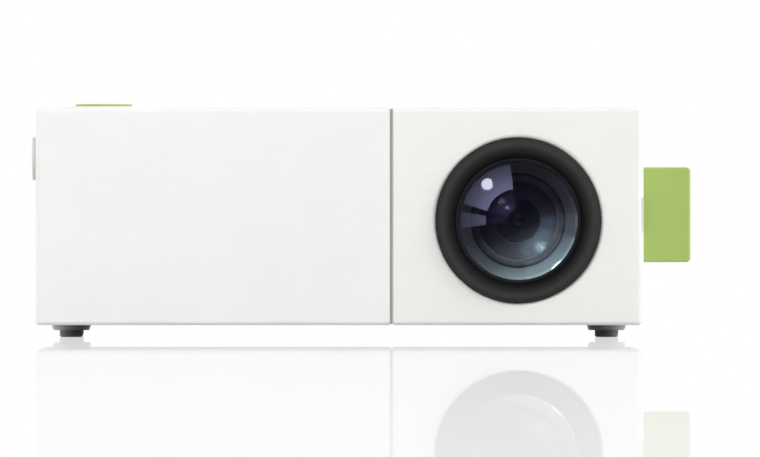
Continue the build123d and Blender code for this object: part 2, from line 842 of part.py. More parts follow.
with BuildPart() as fold_mirror:
    with Locations(mirror_plane):
        Box(
            mirror_length,
            mirror_height,
            mirror_thickness,
            align=(Align.CENTER, Align.CENTER, Align.MIN),
        )
    chamfer(fold_mirror.edges().filter_by(lambda e: e.length < mirror_thickness + 0.1), 0.4)
save(fold_mirror, "fold_mirror")

condenser_plane = Plane(origin=(left, light_y, lens_z), x_dir=(0, 1, 0), z_dir=(0, 0, -1))
with BuildPart() as condenser_lens:
    with BuildSketch(condenser_plane):
        with BuildLine():
            dome = ThreePointArc(*surface(55.8, 20.3, 17.0, -1))
            Polyline(dome @ 1, (17.0, 44.0), (0, 44.0), dome @ 0)
        make_face()
    revolve(axis=Axis((left, light_y, lens_z), (1, 0, 0)))
save(condenser_lens, "condenser_lens")

for label, (pane_x, pane_thickness) in panes.items():
    with BuildPart() as pane:
        block(
            pane_x,
            pane_x + pane_thickness,
            light_y - pane_half_width,
            light_y + pane_half_width,
            engine_floor + tray_wall,
            lens_z + pane_half_height,
        )
        if label.endswith("fresnel"):
            # shallow concentric grooves on the outgoing face
            groove_plane = light_plane.offset(pane_x + pane_thickness - left)
            for radius in (4.0, 8.0, 12.0, 16.0):
                with BuildSketch(groove_plane):
                    Circle(radius + 0.3)
                    Circle(radius, mode=Mode.SUBTRACT)
                extrude(amount=-0.3, mode=Mode.SUBTRACT)
        chamfer(pane.edges().filter_by(Axis.X), 0.4)
    save(pane, label)

flex_thickness = 0.3
flex_z = bottom + 2.7
flex_half_width = 8.0
flex_rise_x = left + 27.8
flex_end_x = left + 24.0
flex_end_z = board_top + 1.1
with BuildPart() as lcd_flex:
    ribbon_front, ribbon_back = light_y - flex_half_width, light_y + flex_half_width
    ribbon_x = lcd_x + 0.95
    ribbon_right = ribbon_x + flex_thickness
    rise_right = flex_rise_x + flex_thickness
    ribbon_top = flex_end_z + flex_thickness
    block(ribbon_x, ribbon_right, ribbon_front, ribbon_back, flex_z, engine_floor + tray_wall)
    block(flex_rise_x, ribbon_right, ribbon_front, ribbon_back, flex_z, flex_z + flex_thickness)
    block(flex_rise_x, rise_right, ribbon_front, ribbon_back, flex_z, ribbon_top)
    block(flex_end_x, rise_right, ribbon_front, ribbon_back, flex_end_z, ribbon_top)
save(lcd_flex, "lcd_flex")

# ------------------------------------------------------------------ lamp and its heatsink
fin_front, fin_back = front + 27.0, front + 77.0
sink_under, sink_top = bottom + 4.4, bottom + 43.6
sink_base_x = left + 37.2
with BuildPart() as led_heatsink:
    block(sink_base_x, left + 39.4, fin_front, fin_back, sink_under, sink_top)
    fin_count = 17
    fin_thickness = 1.0
    fin_pitch = (fin_back - fin_front - fin_thickness) / (fin_count - 1)
    for fin in range(fin_count):
        y0 = fin_front + fin * fin_pitch
        block(left + 28.4, sink_base_x, y0, y0 + fin_thickness, sink_under, sink_top)
save(led_heatsink, "led_heatsink")

with BuildPart() as led_board:
    block(left + 39.4, left + 40.9, light_y - 16, light_y + 16, lens_z - 16, lens_z + 16)
    fillet(led_board.edges().filter_by(Axis.X), 2.0)
    for sy in (-1, 1):
        for sz in (-1, 1):
            rod((left + 39, light_y + sy * 12.5, lens_z + sz * 12.5), RIGHTWARD, 1.2, 4, Mode.SUBTRACT)
save(led_board, "led_board")

with BuildPart() as led_emitter:
    rod((left + 40.9, light_y, lens_z), RIGHTWARD, 7.0, 0.6)
    rod((left + 41.5, light_y, lens_z), RIGHTWARD, 5.6, 0.5)
save(led_emitter, "led_emitter")

# ------------------------------------------------------------------ fan
fan_bore_radius = 14.2
hub_radius = 7.4
with BuildPart() as fan_frame:
    block(fan_x - fan_half, fan_x + fan_half, fan_front, fan_back, fan_z - fan_half, fan_z + fan_half)
    fillet(fan_frame.edges().filter_by(Axis.Y), 2.0)
    rod((fan_x, fan_front - 1, fan_z), INWARD, fan_bore_radius, 12.0, Mode.SUBTRACT)
    for sx in (-1, 1):
        for sz in (-1, 1):
            rod((fan_x + sx * 12, fan_front - 1, fan_z + sz * 12), INWARD, 1.6, 12.0, Mode.SUBTRACT)
    # feet that stand on the base plate
    for x in (fan_x - 4.0, fan_x + 9.0):
        block(x, x + 3.0, fan_front - 1.7, fan_back + 1.7, plate_top, fan_z - fan_half)
    # motor seat on three arms at the back, with the bearing's sleeve
    rod((fan_x, fan_back - 1.2, fan_z), INWARD, 6.6, 1.2)
    with BuildSketch(Plane(origin=(fan_x, fan_back - 1.2, fan_z), x_dir=(1, 0, 0), z_dir=INWARD)):
        with PolarLocations(0, 3, start_angle=90):
            with Locations((10.3, 0)):
                Rectangle(8.6, 1.8)
    extrude(amount=1.2)
    rod((fan_x, fan_front + 1.8, fan_z), INWARD, 2.2, fan_back - fan_front - 2.6)
    rod((fan_x, fan_front, fan_z), INWARD, 0.8, 7.4, Mode.SUBTRACT)
save(fan_frame, "fan_frame")

blade_count = 7
with BuildPart() as fan_rotor:
    rod((fan_x, fan_front + 0.2, fan_z), INWARD, hub_radius, 6.2)
    rod((fan_x, fan_front + 1.2, fan_z), INWARD, hub_radius - 0.8, 6.0, Mode.SUBTRACT)
    rod((fan_x, fan_front + 0.6, fan_z), INWARD, 0.76, 6.4)
    blade_tilt = 38
    for blade in range(blade_count):
        turn = 360 * blade / blade_count
        hub_plane = Plane(origin=(fan_x, fan_front + 3.3, fan_z), x_dir=(1, 0, 0), z_dir=INWARD)
        with Locations(hub_plane * Location((0, 0, 0), (0, 0, turn)) * Location((10.5, 0, 0))):
            Box(6.7, 6.4, 0.9, rotation=(blade_tilt, 0, 0))
save(fan_rotor, "fan_rotor")

# ------------------------------------------------------------------ main board and its parts
board_left, board_right = left + 3.0, left + 27.5
board_front, board_back = front + 8.5, front + 82.5
with BuildPart() as main_board:
    block(board_left, board_right, board_front, board_back, board_under, board_top)
    # corner cut away around the screw boss
    block(board_left - 1, left + 8.2, front + 77.2, board_back + 1, bottom, top, Mode.SUBTRACT)
    for x, y in board_screw_places:
        rod((x, y, bottom), UP, 1.1, 20.0, Mode.SUBTRACT)
save(main_board, "main_board")

with BuildPart() as board_parts:
    # ribbon connector
    block(left + 21.6, flex_end_x, light_y - 9, light_y + 9, board_top, board_top + 2.0)
    # processor, memory and driver
    block(left + 15.6, left + 20.8, front + 46.0, front + 56.0, board_top, board_top + 1.2)
    block(left + 16.0, left + 20.6, front + 58.5, front + 63.5, board_top, board_top + 1.0)
    block(left + 16.4, left + 22.0, front + 35.0, front + 41.0, board_top, board_top + 1.4)
    # coil and capacitors
    block(left + 17.0, left + 23.0, front + 64.6, front + 70.6, board_top, board_top + 3.0)
    rod((left + 18.0, front + 30.0, board_top), UP, 2.5, 6.5)
    rod((left + 24.2, front + 30.0, board_top), UP, 2.5, 6.5)
    rod((left + 18.4, front + 12.5, board_top), UP, 2.0, 5.0)
save(board_parts, "board_parts")

with BuildPart() as board_screws:
    for x, y in board_screw_places:
        screw((x, y, board_top + 0.9), DOWN, 1.8, 0.9, 0.8, 4.6)
    for x, y in pad_posts:
        screw((x, y, pad_board_under - 0.9), UP, 1.6, 0.9, 0.8, 3.8)
    for y, z in power_posts:
        screw((power_board_x + 2.0, y, z), LEFTWARD, 1.3, 0.8, 0.7, 3.4)
    for x, z in ir_posts:
        screw((x, ir_board_y - 0.8, z), INWARD, 1.3, 0.8, 0.7, 3.2)
save(board_screws, "board_screws")

# ------------------------------------------------------------------ sockets
socket_mouth_x = left + 0.4
with BuildPart() as hdmi_socket:
    hdmi_mouth_y = back - 0.2
    block(hdmi_x - 7.5, hdmi_x + 7.5, back - 11.7, hdmi_mouth_y, board_top, board_top + 5.6)
    with BuildSketch(Plane(origin=(hdmi_x, hdmi_mouth_y, hdmi_z), x_dir=(1, 0, 0), z_dir=OUTWARD)):
        with BuildLine():
            Polyline(
                (-7.0, 2.25),
                (7.0, 2.25),
                (7.0, -0.8),
                (5.2, -2.25),
                (-5.2, -2.25),
                (-7.0, -0.8),
                close=True,
            )
        make_face()
    extrude(amount=9.0, mode=Mode.SUBTRACT)
    block(hdmi_x - 6.0, hdmi_x + 6.0, back - 10.0, back - 2.2, hdmi_z - 0.2, hdmi_z + 1.0)
save(hdmi_socket, "hdmi_socket")

with BuildPart() as usb_socket:
    block(socket_mouth_x, left + 14.4, usb_y - 6.55, usb_y + 6.55, board_top, board_top + 5.7)
    block(left, left + 12.4, usb_y - 6.2, usb_y + 6.2, usb_z - 2.5, usb_z + 2.5, Mode.SUBTRACT)
    block(left + 1.4, left + 13.0, usb_y - 5.6, usb_y + 5.6, usb_z - 0.1, usb_z + 1.7)
save(usb_socket, "usb_socket")

with BuildPart() as card_socket:
    block(socket_mouth_x, left + 15.4, card_y - 7.25, card_y + 7.25, board_top, board_top + 1.9)
    block(left, left + 14.6, card_y - 5.6, card_y + 5.6, card_z - 0.5, card_z + 0.5, Mode.SUBTRACT)
save(card_socket, "card_socket")

jack_bore_length = 12.4
for label, y in (("audio_jack", audio_y), ("av_jack", av_y)):
    with BuildPart() as jack:
        block(inner_left + 0.2, left + 14.0, y - 3.1, y + 3.1, board_top, board_top + 5.6)
        rod((socket_mouth_x, y, jack_z), RIGHTWARD, 2.5, 3.0)
        rod((left, y, jack_z), RIGHTWARD, jack_bore_radius, 0.4 + jack_bore_length, Mode.SUBTRACT)
    save(jack, label)

dc_bore_radius, dc_pin_radius = 3.05, 1.0
with BuildPart() as dc_jack:
    block(inner_left + 0.2, left + 14.0, dc_y - 4.5, dc_y + 4.5, board_top, board_top + 11.0)
    rod((socket_mouth_x, dc_y, dc_z), RIGHTWARD, 3.75, 3.0)
    rod((left, dc_y, dc_z), RIGHTWARD, dc_bore_radius, 11.0, Mode.SUBTRACT)
    rod((left + 2.0, dc_y, dc_z), RIGHTWARD, dc_pin_radius, 9.4)
save(dc_jack, "dc_jack")

with BuildPart() as ir_window:
    window_plane = Plane(origin=(ir_x, inner_back - 0.8, ir_z), x_dir=(1, 0, 0), z_dir=INWARD)
    with BuildSketch(window_plane):
        SlotOverall(10.0, 7.0)
    extrude(amount=0.8)
    with BuildSketch(window_plane):
        SlotOverall(8.3, 5.3)
    extrude(amount=0.8 + wall)
save(ir_window, "ir_window")

with BuildPart() as ir_receiver:
    block(ir_x - 8.6, ir_x + 8.6, ir_board_y, ir_board_y + 1.0, ir_z - 4.0, ir_z + 4.0)
    block(ir_x - 2.6, ir_x + 2.6, ir_board_y + 1.0, ir_board_y + 3.0, ir_z - 2.6, ir_z + 2.6)
    rod((ir_x, ir_board_y + 3.0, ir_z), INWARD, 1.8, 1.2)
    for x, z in ir_posts:
        rod((x, ir_board_y - 1, z), INWARD, 0.8, 3.0, Mode.SUBTRACT)
save(ir_receiver, "ir_receiver")

# ------------------------------------------------------------------ speaker
with BuildPart() as speaker:
    rod((inner_left, speaker_y, speaker_z), RIGHTWARD, speaker_radius, 1.6)
    rod((inner_left + 1.6, speaker_y, speaker_z), RIGHTWARD, 6.6, 3.6)
    rod((inner_left - 1, speaker_y, speaker_z), RIGHTWARD, speaker_radius - 1.0, 2.0, Mode.SUBTRACT)
save(speaker, "speaker")

with BuildPart() as speaker_cone:
    cone_plane = Plane(origin=(inner_left, speaker_y, speaker_z), x_dir=(0, 0, 1), z_dir=(0, 1, 0))
    with BuildSketch(cone_plane):
        with BuildLine():
            Polyline(
                (0, 0.55),
                (3.0, 0.85),
                (7.4, 0.35),
                (8.2, 0.2),
                (8.95, 0.4),
                (8.95, 0.6),
                (8.2, 0.4),
                (7.4, 0.55),
                (3.0, 1.0),
                (0, 0.9),
                close=True,
            )
        make_face()
    revolve(axis=Axis((inner_left, speaker_y, speaker_z), (1, 0, 0)))
save(speaker_cone, "speaker_cone")

# ------------------------------------------------------------------ keypad board with its switches
switch_half = 1.3
switch_top = pad_board_top + 1.4
plunger_top = switch_top + 0.33
gimbal_pin_radius = 0.45
pin_hole_radius = gimbal_pin_radius + 0.06
yoke_middle = 5.0
yoke_half_thickness = 0.5
yoke_half_width = 1.0
with BuildPart() as keypad_board:
    block(nav_x - 10.1, nav_x + 10.1, nav_y - 10.5, nav_y + 17.0, pad_board_under, pad_board_top)
    for x, y in pad_posts:
        rod((x, y, pad_board_under - 1), UP, 1.0, 3.0, Mode.SUBTRACT)
    around = [(nav_x + 7.2, nav_y), (nav_x - 7.2, nav_y), (nav_x, nav_y + 7.2), (nav_x, nav_y - 7.2)]
    for x, y in around + [(x, key_y) for x in key_places.values()]:
        block(
            x - switch_half, x + switch_half, y - switch_half, y + switch_half, pad_board_top, switch_top
        )
        rod((x, y, switch_top), UP, 0.6, plunger_top - switch_top)
    # middle switch, lower than the others
    block(
        nav_x - switch_half,
        nav_x + switch_half,
        nav_y - switch_half,
        nav_y + switch_half,
        pad_board_top,
        pad_board_top + 1.0,
    )
    rod((nav_x, nav_y, pad_board_top + 1.0), UP, 0.7, 0.4)
    # yokes that carry the gimbal ring
    for side in (-1, 1):
        x = nav_x + side * yoke_middle
        block(
            x - yoke_half_thickness,
            x + yoke_half_thickness,
            nav_y - yoke_half_width,
            nav_y + yoke_half_width,
            pad_board_top,
            nav_pivot_z + 0.8,
        )
    rod((nav_x - 6, nav_y, nav_pivot_z), RIGHTWARD, pin_hole_radius, 12.0, Mode.SUBTRACT)
save(keypad_board, "keypad_board")

# ------------------------------------------------------------------ navigation disc on its gimbal
gimbal_radius, gimbal_bore_radius = 4.3, 3.3
with BuildPart() as nav_gimbal:
    rod((nav_x, nav_y, nav_pivot_z - 0.5), UP, gimbal_radius, 1.0)
    rod((nav_x - 5.4, nav_y, nav_pivot_z), RIGHTWARD, gimbal_pin_radius, 10.8)
    rod((nav_x, nav_y - 5.4, nav_pivot_z), INWARD, gimbal_pin_radius, 10.8)
    rod((nav_x, nav_y, nav_pivot_z - 1), UP, gimbal_bore_radius, 2.0, Mode.SUBTRACT)
save(nav_gimbal, "nav_gimbal")

disc_under = bottom + 46.3
disc_flange_top = disc_under + 0.8
disc_top = top + nav_proud
ok_hole_radius = 2.9
ok_pocket_top = bottom + 48.2
with BuildPart() as nav_disc:
    rod((nav_x, nav_y, disc_under), UP, 7.8, disc_flange_top - disc_under)
    rod((nav_x, nav_y, disc_under), UP, nav_radius, disc_top - disc_under)
    fillet(nav_disc.edges().filter_by(GeomType.CIRCLE).group_by(Axis.Z)[-1], 0.25)
    rod((nav_x, nav_y, disc_under - 1), UP, 3.6, ok_pocket_top - disc_under + 1, Mode.SUBTRACT)
    rod((nav_x, nav_y, disc_under), UP, ok_hole_radius, 6.0, Mode.SUBTRACT)
    # four nibs over the switches
    for x, y in ((7.0, 0), (-7.0, 0), (0, 7.0), (0, -7.0)):
        rod((nav_x + x, nav_y + y, disc_under), DOWN, 0.6, 1.05)
    # two lugs that ride on the gimbal's pins
    for side in (-1, 1):
        y = nav_y + side * yoke_middle
        block(
            nav_x - yoke_half_width,
            nav_x + yoke_half_width,
            y - yoke_half_thickness,
            y + yoke_half_thickness,
            nav_pivot_z - 0.8,
            disc_under + 0.2,
        )
    rod((nav_x, nav_y - 6, nav_pivot_z), INWARD, pin_hole_radius, 12.0, Mode.SUBTRACT)
save(nav_disc, "nav_disc")

with BuildPart() as ok_button:
    rod((nav_x, nav_y, bottom + 47.3), UP, 3.3, 0.85)
    rod((nav_x, nav_y, bottom + 47.3), UP, 2.7, disc_top - 0.1 - bottom - 47.3)
    fillet(ok_button.edges().filter_by(GeomType.CIRCLE).group_by(Axis.Z)[-1], 0.3)
    rod((nav_x, nav_y, bottom + 47.3), DOWN, 1.0, 2.35)
save(ok_button, "ok_button")

key_flange_top = inner_top - 0.05
for label, x in key_places.items():
    with BuildPart() as key:
        with BuildSketch(Plane.XY.offset(key_flange_top - 0.85)):
            with Locations((x, key_y)):
                SlotOverall(key_length + 1.6, key_width + 1.4)
        extrude(amount=0.85)
        with BuildSketch(Plane.XY.offset(key_flange_top - 0.85)):
            with Locations((x, key_y)):
                SlotOverall(key_length, key_width)
        extrude(amount=top + key_proud - key_flange_top + 0.85)
        fillet(key.faces().sort_by(Axis.Z)[-1].edges(), 0.2)
        rod((x, key_y, key_flange_top - 0.8), DOWN, 0.9, key_flange_top - 0.8 - plunger_top - 0.32)
    save(key, label)

# ------------------------------------------------------------------ power button and its board
with BuildPart() as power_board:
    block(
        power_board_x,
        power_board_x + 1.2,
        power_y - 8.7,
        power_y + 8.7,
        power_z - 5.0,
        power_z + 2.6,
    )
    block(
        power_board_x - 0.9,
        power_board_x,
        power_y - switch_half,
        power_y + switch_half,
        power_z - switch_half,
        power_z + switch_half,
    )
    rod((power_board_x - 0.9, power_y, power_z), LEFTWARD, 0.7, 0.3)
    for y, z in power_posts:
        rod((power_board_x - 1, y, z), RIGHTWARD, 0.8, 4.0, Mode.SUBTRACT)
save(power_board, "power_board")

with BuildPart() as power_button:
    rod((left - power_proud, power_y, power_z), RIGHTWARD, power_radius, power_proud + wall + 0.9)
    fillet(power_button.edges().filter_by(GeomType.CIRCLE).sort_by(Axis.X)[0], 0.35)
    rod((inner_left + 0.04, power_y, power_z), RIGHTWARD, power_radius + 0.75, 0.86)
    rod((left + 1.0, power_y, power_z), RIGHTWARD, power_radius - 1.0, 4.0, Mode.SUBTRACT)
    rod((left + 0.6, power_y, power_z), RIGHTWARD, 1.3, power_board_x - 1.2 - 0.35 - left - 0.6)
save(power_button, "power_button")
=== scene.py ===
"""Looks for the home projector: a material for every CAD node, coated glass, studio, camera."""
import math

import bmesh
import bpy
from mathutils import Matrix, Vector


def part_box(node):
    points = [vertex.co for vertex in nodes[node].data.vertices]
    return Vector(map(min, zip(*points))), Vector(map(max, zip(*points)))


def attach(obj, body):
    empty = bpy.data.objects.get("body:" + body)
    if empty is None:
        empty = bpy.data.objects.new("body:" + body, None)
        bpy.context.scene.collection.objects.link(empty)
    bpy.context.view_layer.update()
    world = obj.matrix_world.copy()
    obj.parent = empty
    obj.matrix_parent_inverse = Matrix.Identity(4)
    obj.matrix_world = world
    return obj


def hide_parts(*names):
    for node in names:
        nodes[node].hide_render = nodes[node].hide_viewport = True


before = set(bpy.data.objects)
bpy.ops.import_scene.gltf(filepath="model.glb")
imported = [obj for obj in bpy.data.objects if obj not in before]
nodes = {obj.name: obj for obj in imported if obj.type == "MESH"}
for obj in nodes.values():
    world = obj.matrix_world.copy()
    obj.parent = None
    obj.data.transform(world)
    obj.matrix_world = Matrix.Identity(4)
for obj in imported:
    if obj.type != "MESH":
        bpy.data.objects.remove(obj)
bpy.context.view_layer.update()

MM = 0.001
GLASS_RADIUS = 13.8 * MM
ring_low, ring_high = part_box("lens_ring")
lens_x = (ring_low.x + ring_high.x) / 2
lens_z = (ring_low.z + ring_high.z) / 2
ring_radius = (ring_high.x - ring_low.x) / 2
left, front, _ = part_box("main_shell")[0]
lens_centre = Vector((lens_x, front, lens_z))


# ------------------------------------------------------------------ node helpers
class Finish:
    """A procedural material: one Principled shader and the nodes that feed it."""

    def __init__(self, name, roughness=0.5, metallic=0.0, specular=0.5, alpha=1.0):
        self.material = bpy.data.materials.new(name)
        self.material.use_nodes = True
        self.tree = self.material.node_tree
        self.tree.nodes.clear()
        output = self.tree.nodes.new("ShaderNodeOutputMaterial")
        self.shader = self.tree.nodes.new("ShaderNodeBsdfPrincipled")
        self.link(self.shader.outputs["BSDF"], output.inputs["Surface"])
        self.set("Roughness", roughness)
        self.set("Metallic", metallic)
        self.set("Specular IOR Level", specular)
        self.set("Alpha", alpha)
        self.place = self.tree.nodes.new("ShaderNodeTexCoord").outputs["Object"]

    def set(self, socket, value):
        self.shader.inputs[socket].default_value = value

    def link(self, source, target):
        self.tree.links.new(source, target)

    def feed(self, socket, source):
        self.link(source, self.shader.inputs[socket])

    def noise(self, size, detail=2.0, stretch=(1, 1, 1)):
        """Noise whose features are about size metres across, drawn out along an axis by stretch."""
        source = self.place
        if stretch != (1, 1, 1):
            scaling = self.tree.nodes.new("ShaderNodeVectorMath")
            scaling.operation = "MULTIPLY"
            scaling.inputs[1].default_value = [1 / s for s in stretch]
            self.link(source, scaling.inputs[0])
            source = scaling.outputs[0]
        node = self.tree.nodes.new("ShaderNodeTexNoise")
        node.inputs["Scale"].default_value = 1 / size
        node.inputs["Detail"].default_value = detail
        self.link(source, node.inputs["Vector"])
        return node.outputs["Fac"]

    def ramp(self, value, *stops):
        node = self.tree.nodes.new("ShaderNodeValToRGB")
        elements = node.color_ramp.elements
        while len(elements) < len(stops):
            elements.new(0.5)
        for element, (place, colour) in zip(elements, stops):
            element.position = place
            element.color = (*colour, 1)
        self.link(value, node.inputs["Fac"])
        return node.outputs["Color"]

    def spread(self, value, low, high, start=0.3, end=0.7):
        """Maps value between start and end to low and high."""
        node = self.tree.nodes.new("ShaderNodeMapRange")
        ends = zip(("From Min", "From Max", "To Min", "To Max"), (start, end, low, high))
        for name, number in ends:
            node.inputs[name].default_value = number
        self.link(value, node.inputs["Value"])
        return node.outputs["Result"]

    def mix(self, amount, first, second, kind="MIX"):
        node = self.tree.nodes.new("ShaderNodeMix")
        node.data_type = "RGBA"
        node.blend_type = kind
        sockets = (node.inputs[0], node.inputs[6], node.inputs[7])
        for value, socket in zip((amount, first, second), sockets):
            if isinstance(value, bpy.types.NodeSocket):
                self.link(value, socket)
            elif isinstance(value, tuple):
                socket.default_value = (*value, 1)
            else:
                socket.default_value = value
        return node.outputs[2]

    def maths(self, operation, *values):
        node = self.tree.nodes.new("ShaderNodeMath")
        node.operation = operation
        for value, socket in zip(values, node.inputs):
            if isinstance(value, bpy.types.NodeSocket):
                self.link(value, socket)
            else:
                socket.default_value = value
        return node.outputs[0]

    def from_centre(self, centre):
        """The vector from centre to the shaded point."""
        node = self.tree.nodes.new("ShaderNodeVectorMath")
        node.operation = "SUBTRACT"
        node.inputs[1].default_value = centre
        self.link(self.place, node.inputs[0])
        return node.outputs[0]

    def along(self, vector, direction):
        """How far vector reaches along direction."""
        node = self.tree.nodes.new("ShaderNodeVectorMath")
        node.operation = "DOT_PRODUCT"
        node.inputs[1].default_value = direction
        self.link(vector, node.inputs[0])
        return node.outputs["Value"]

    def lens_radius(self):
        """Distance from the lens axis."""
        offset = self.from_centre(lens_centre)
        flat = self.tree.nodes.new("ShaderNodeVectorMath")
        flat.operation = "MULTIPLY"
        flat.inputs[1].default_value = (1, 0, 1)
        self.link(offset, flat.inputs[0])
        length = self.tree.nodes.new("ShaderNodeVectorMath")
        length.operation = "LENGTH"
        self.link(flat.outputs[0], length.inputs[0])
        return length.outputs["Value"]

    def bump(self, height, strength, depth):
        node = self.tree.nodes.new("ShaderNodeBump")
        node.inputs["Strength"].default_value = strength
        node.inputs["Distance"].default_value = depth
        self.link(height, node.inputs["Height"])
        self.feed("Normal", node.outputs["Normal"])


def shade(colour, factor):
    return tuple(min(1.0, part * factor) for part in colour)


def moulded(name, colour, roughness=0.5, grain=0.35 * MM, depth=0.004 * MM, strength=0.25,
            variation=0.02, specular=0.5):
    """Moulded plastic: a fine spark-eroded grain, faint broad colour drift, uneven gloss."""
    finish = Finish(name, roughness, specular=specular)
    fine = finish.noise(grain, 3.0)
    broad = finish.noise(14 * MM, 2.0)
    tone = finish.ramp(broad, (0.3, shade(colour, 1 - variation)), (0.7, colour))
    speck = finish.ramp(fine, (0.35, (0.97, 0.97, 0.97)), (0.6, (1, 1, 1)))
    finish.feed("Base Color", finish.mix(1.0, tone, speck, "MULTIPLY"))
    finish.feed("Roughness", finish.spread(fine, roughness - 0.05, roughness + 0.05))
    finish.bump(fine, strength, depth)
    return finish.material


def metal(name, colour, roughness=0.3, stretch=(1, 1, 1), grain=0.5 * MM, depth=0.003 * MM):
    """Machined, brushed or pressed metal: fine marks drawn out along stretch, with dull patches."""
    finish = Finish(name, roughness, metallic=1.0)
    marks = finish.noise(grain, 4.0, stretch)
    patches = finish.noise(6 * MM, 2.0)
    tone = finish.ramp(marks, (0.3, shade(colour, 0.86)), (0.7, colour))
    dull = finish.ramp(patches, (0.35, (0.93, 0.93, 0.93)), (0.65, (1, 1, 1)))
    finish.feed("Base Color", finish.mix(1.0, tone, dull, "MULTIPLY"))
    finish.feed("Roughness", finish.spread(marks, roughness - 0.07, roughness + 0.08))
    finish.bump(marks, 0.3, depth)
    return finish.material


# ------------------------------------------------------------------ materials
def black_ring_painted_shading():
    """Soft-touch rubbery paint with painted shading: lighter in a middle band and darker toward its
    inner and outer edges.
    """
    finish = Finish("black_ring_painted_shading", 0.62, specular=0.18)
    fine = finish.noise(0.25 * MM, 3.0)
    radius = finish.maths("DIVIDE", finish.lens_radius(), ring_radius)
    # painted shading by distance from the lens axis: the middle band is painted as lit, the inner
    # and outer edges as in shade
    tone = finish.ramp(
        radius,
        (0.765, (0.006, 0.006, 0.006)),
        (0.81, (0.016, 0.016, 0.016)),
        (0.88, (0.038, 0.038, 0.038)),
        (0.93, (0.021, 0.021, 0.021)),
        (0.96, (0.010, 0.010, 0.010)),
        (0.985, (0.003, 0.003, 0.003)),
    )
    speck = finish.ramp(fine, (0.35, (0.88, 0.88, 0.88)), (0.65, (1, 1, 1)))
    finish.feed("Base Color", finish.mix(1.0, tone, speck, "MULTIPLY"))
    finish.feed("Roughness", finish.spread(fine, 0.56, 0.68))
    finish.bump(fine, 0.15, 0.003 * MM)
    return finish.material


def seam_grey():
    """Grey plastic of the band in the seam, with painted shade: darker on the side away from the
    lens, paler toward the lens side.
    """
    finish = Finish("band_grey_painted_shade", 0.5, specular=0.3)
    seam = (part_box("seam_band")[0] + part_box("seam_band")[1]) / 2
    offset = finish.along(finish.from_centre(seam), (1, 0, 0))
    across = finish.spread(offset, 0, 1, -0.3 * MM, 0.38 * MM)
    fine = finish.noise(0.3 * MM, 3.0)
    # painted shade across the band: dark on its left side, as if shaded by the groove's wall, pale
    # toward the lens side
    tone = finish.ramp(
        across,
        (0.0, (0.30, 0.30, 0.30)),
        (0.5, (0.38, 0.38, 0.375)),
        (1.0, (0.62, 0.62, 0.61)),
    )
    speck = finish.ramp(fine, (0.35, (0.96, 0.96, 0.96)), (0.65, (1, 1, 1)))
    finish.feed("Base Color", finish.mix(1.0, tone, speck, "MULTIPLY"))
    finish.feed("Roughness", finish.spread(fine, 0.45, 0.55))
    finish.bump(fine, 0.2, 0.003 * MM)
    return finish.material


def outward(finish, node, radius):
    """0 on the inner side of a foot, 1 on the side toward the case's end: the mask for the painted
    reflection and shade on the feet.
    """
    low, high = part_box(node)
    middle, reach = (low.x + high.x) / 2, (high.x - low.x) / 2
    across = finish.along(finish.from_centre(Vector((middle, 0, 0))), (1, 0, 0))
    away = finish.maths("ABSOLUTE", across)
    return finish.spread(away, 0, 1, reach - 2 * radius - 1 * MM, reach - 1 * MM)


def collar_chrome():
    """Polished chrome with a painted reflection: bright on the outer side of each foot, dark toward
    the inner side, where it mirrors the shade under the case.
    """
    finish = Finish("collar_chrome_painted_reflection", 0.36, metallic=0.1, specular=0.3)
    # painted reflection: the dark gap under the case on the inner side, the bright room on the
    # outer side
    painted_reflection = finish.ramp(
        outward(finish, "foot_collars", 4.6 * MM),
        (0.0, (0.003, 0.003, 0.003)),
        (0.25, (0.07, 0.07, 0.07)),
        (0.5, (0.25, 0.25, 0.248)),
        (0.75, (0.46, 0.46, 0.456)),
        (1.0, (0.68, 0.68, 0.665)),
    )
    marks = finish.noise(0.8 * MM, 3.0, (4, 4, 1))
    speck = finish.ramp(marks, (0.3, (0.94, 0.94, 0.94)), (0.7, (1, 1, 1)))
    finish.feed("Base Color", finish.mix(1.0, painted_reflection, speck, "MULTIPLY"))
    finish.feed("Roughness", finish.spread(marks, 0.32, 0.40))
    finish.bump(marks, 0.1, 0.001 * MM)
    return finish.material


def rubber():
    """Foot rubber with painted shading: lighter on its outer side, black on its inner side in shade
    under the case.
    """
    finish = Finish("foot_rubber", 0.6, specular=0.3)
    fine = finish.noise(0.3 * MM, 4.0)
    # painted shading: light on the outer side of each foot, painted shade on the inner side under
    # the case
    painted_shading = finish.ramp(
        outward(finish, "foot_pads", 2.65 * MM),
        (0.0, (0.012, 0.012, 0.012)),
        (0.4, (0.090, 0.090, 0.090)),
        (0.7, (0.180, 0.180, 0.180)),
        (1.0, (0.360, 0.360, 0.357)),
    )
    speck = finish.ramp(fine, (0.3, (0.82, 0.82, 0.82)), (0.7, (1, 1, 1)))
    finish.feed("Base Color", finish.mix(1.0, painted_shading, speck, "MULTIPLY"))
    finish.feed("Roughness", finish.spread(fine, 0.5, 0.7))
    finish.bump(fine, 0.3, 0.006 * MM)
    return finish.material


# the direction from which the painted light inside the lens falls: the lower right
LIT_SIDE = (0.42, 0, -0.91)


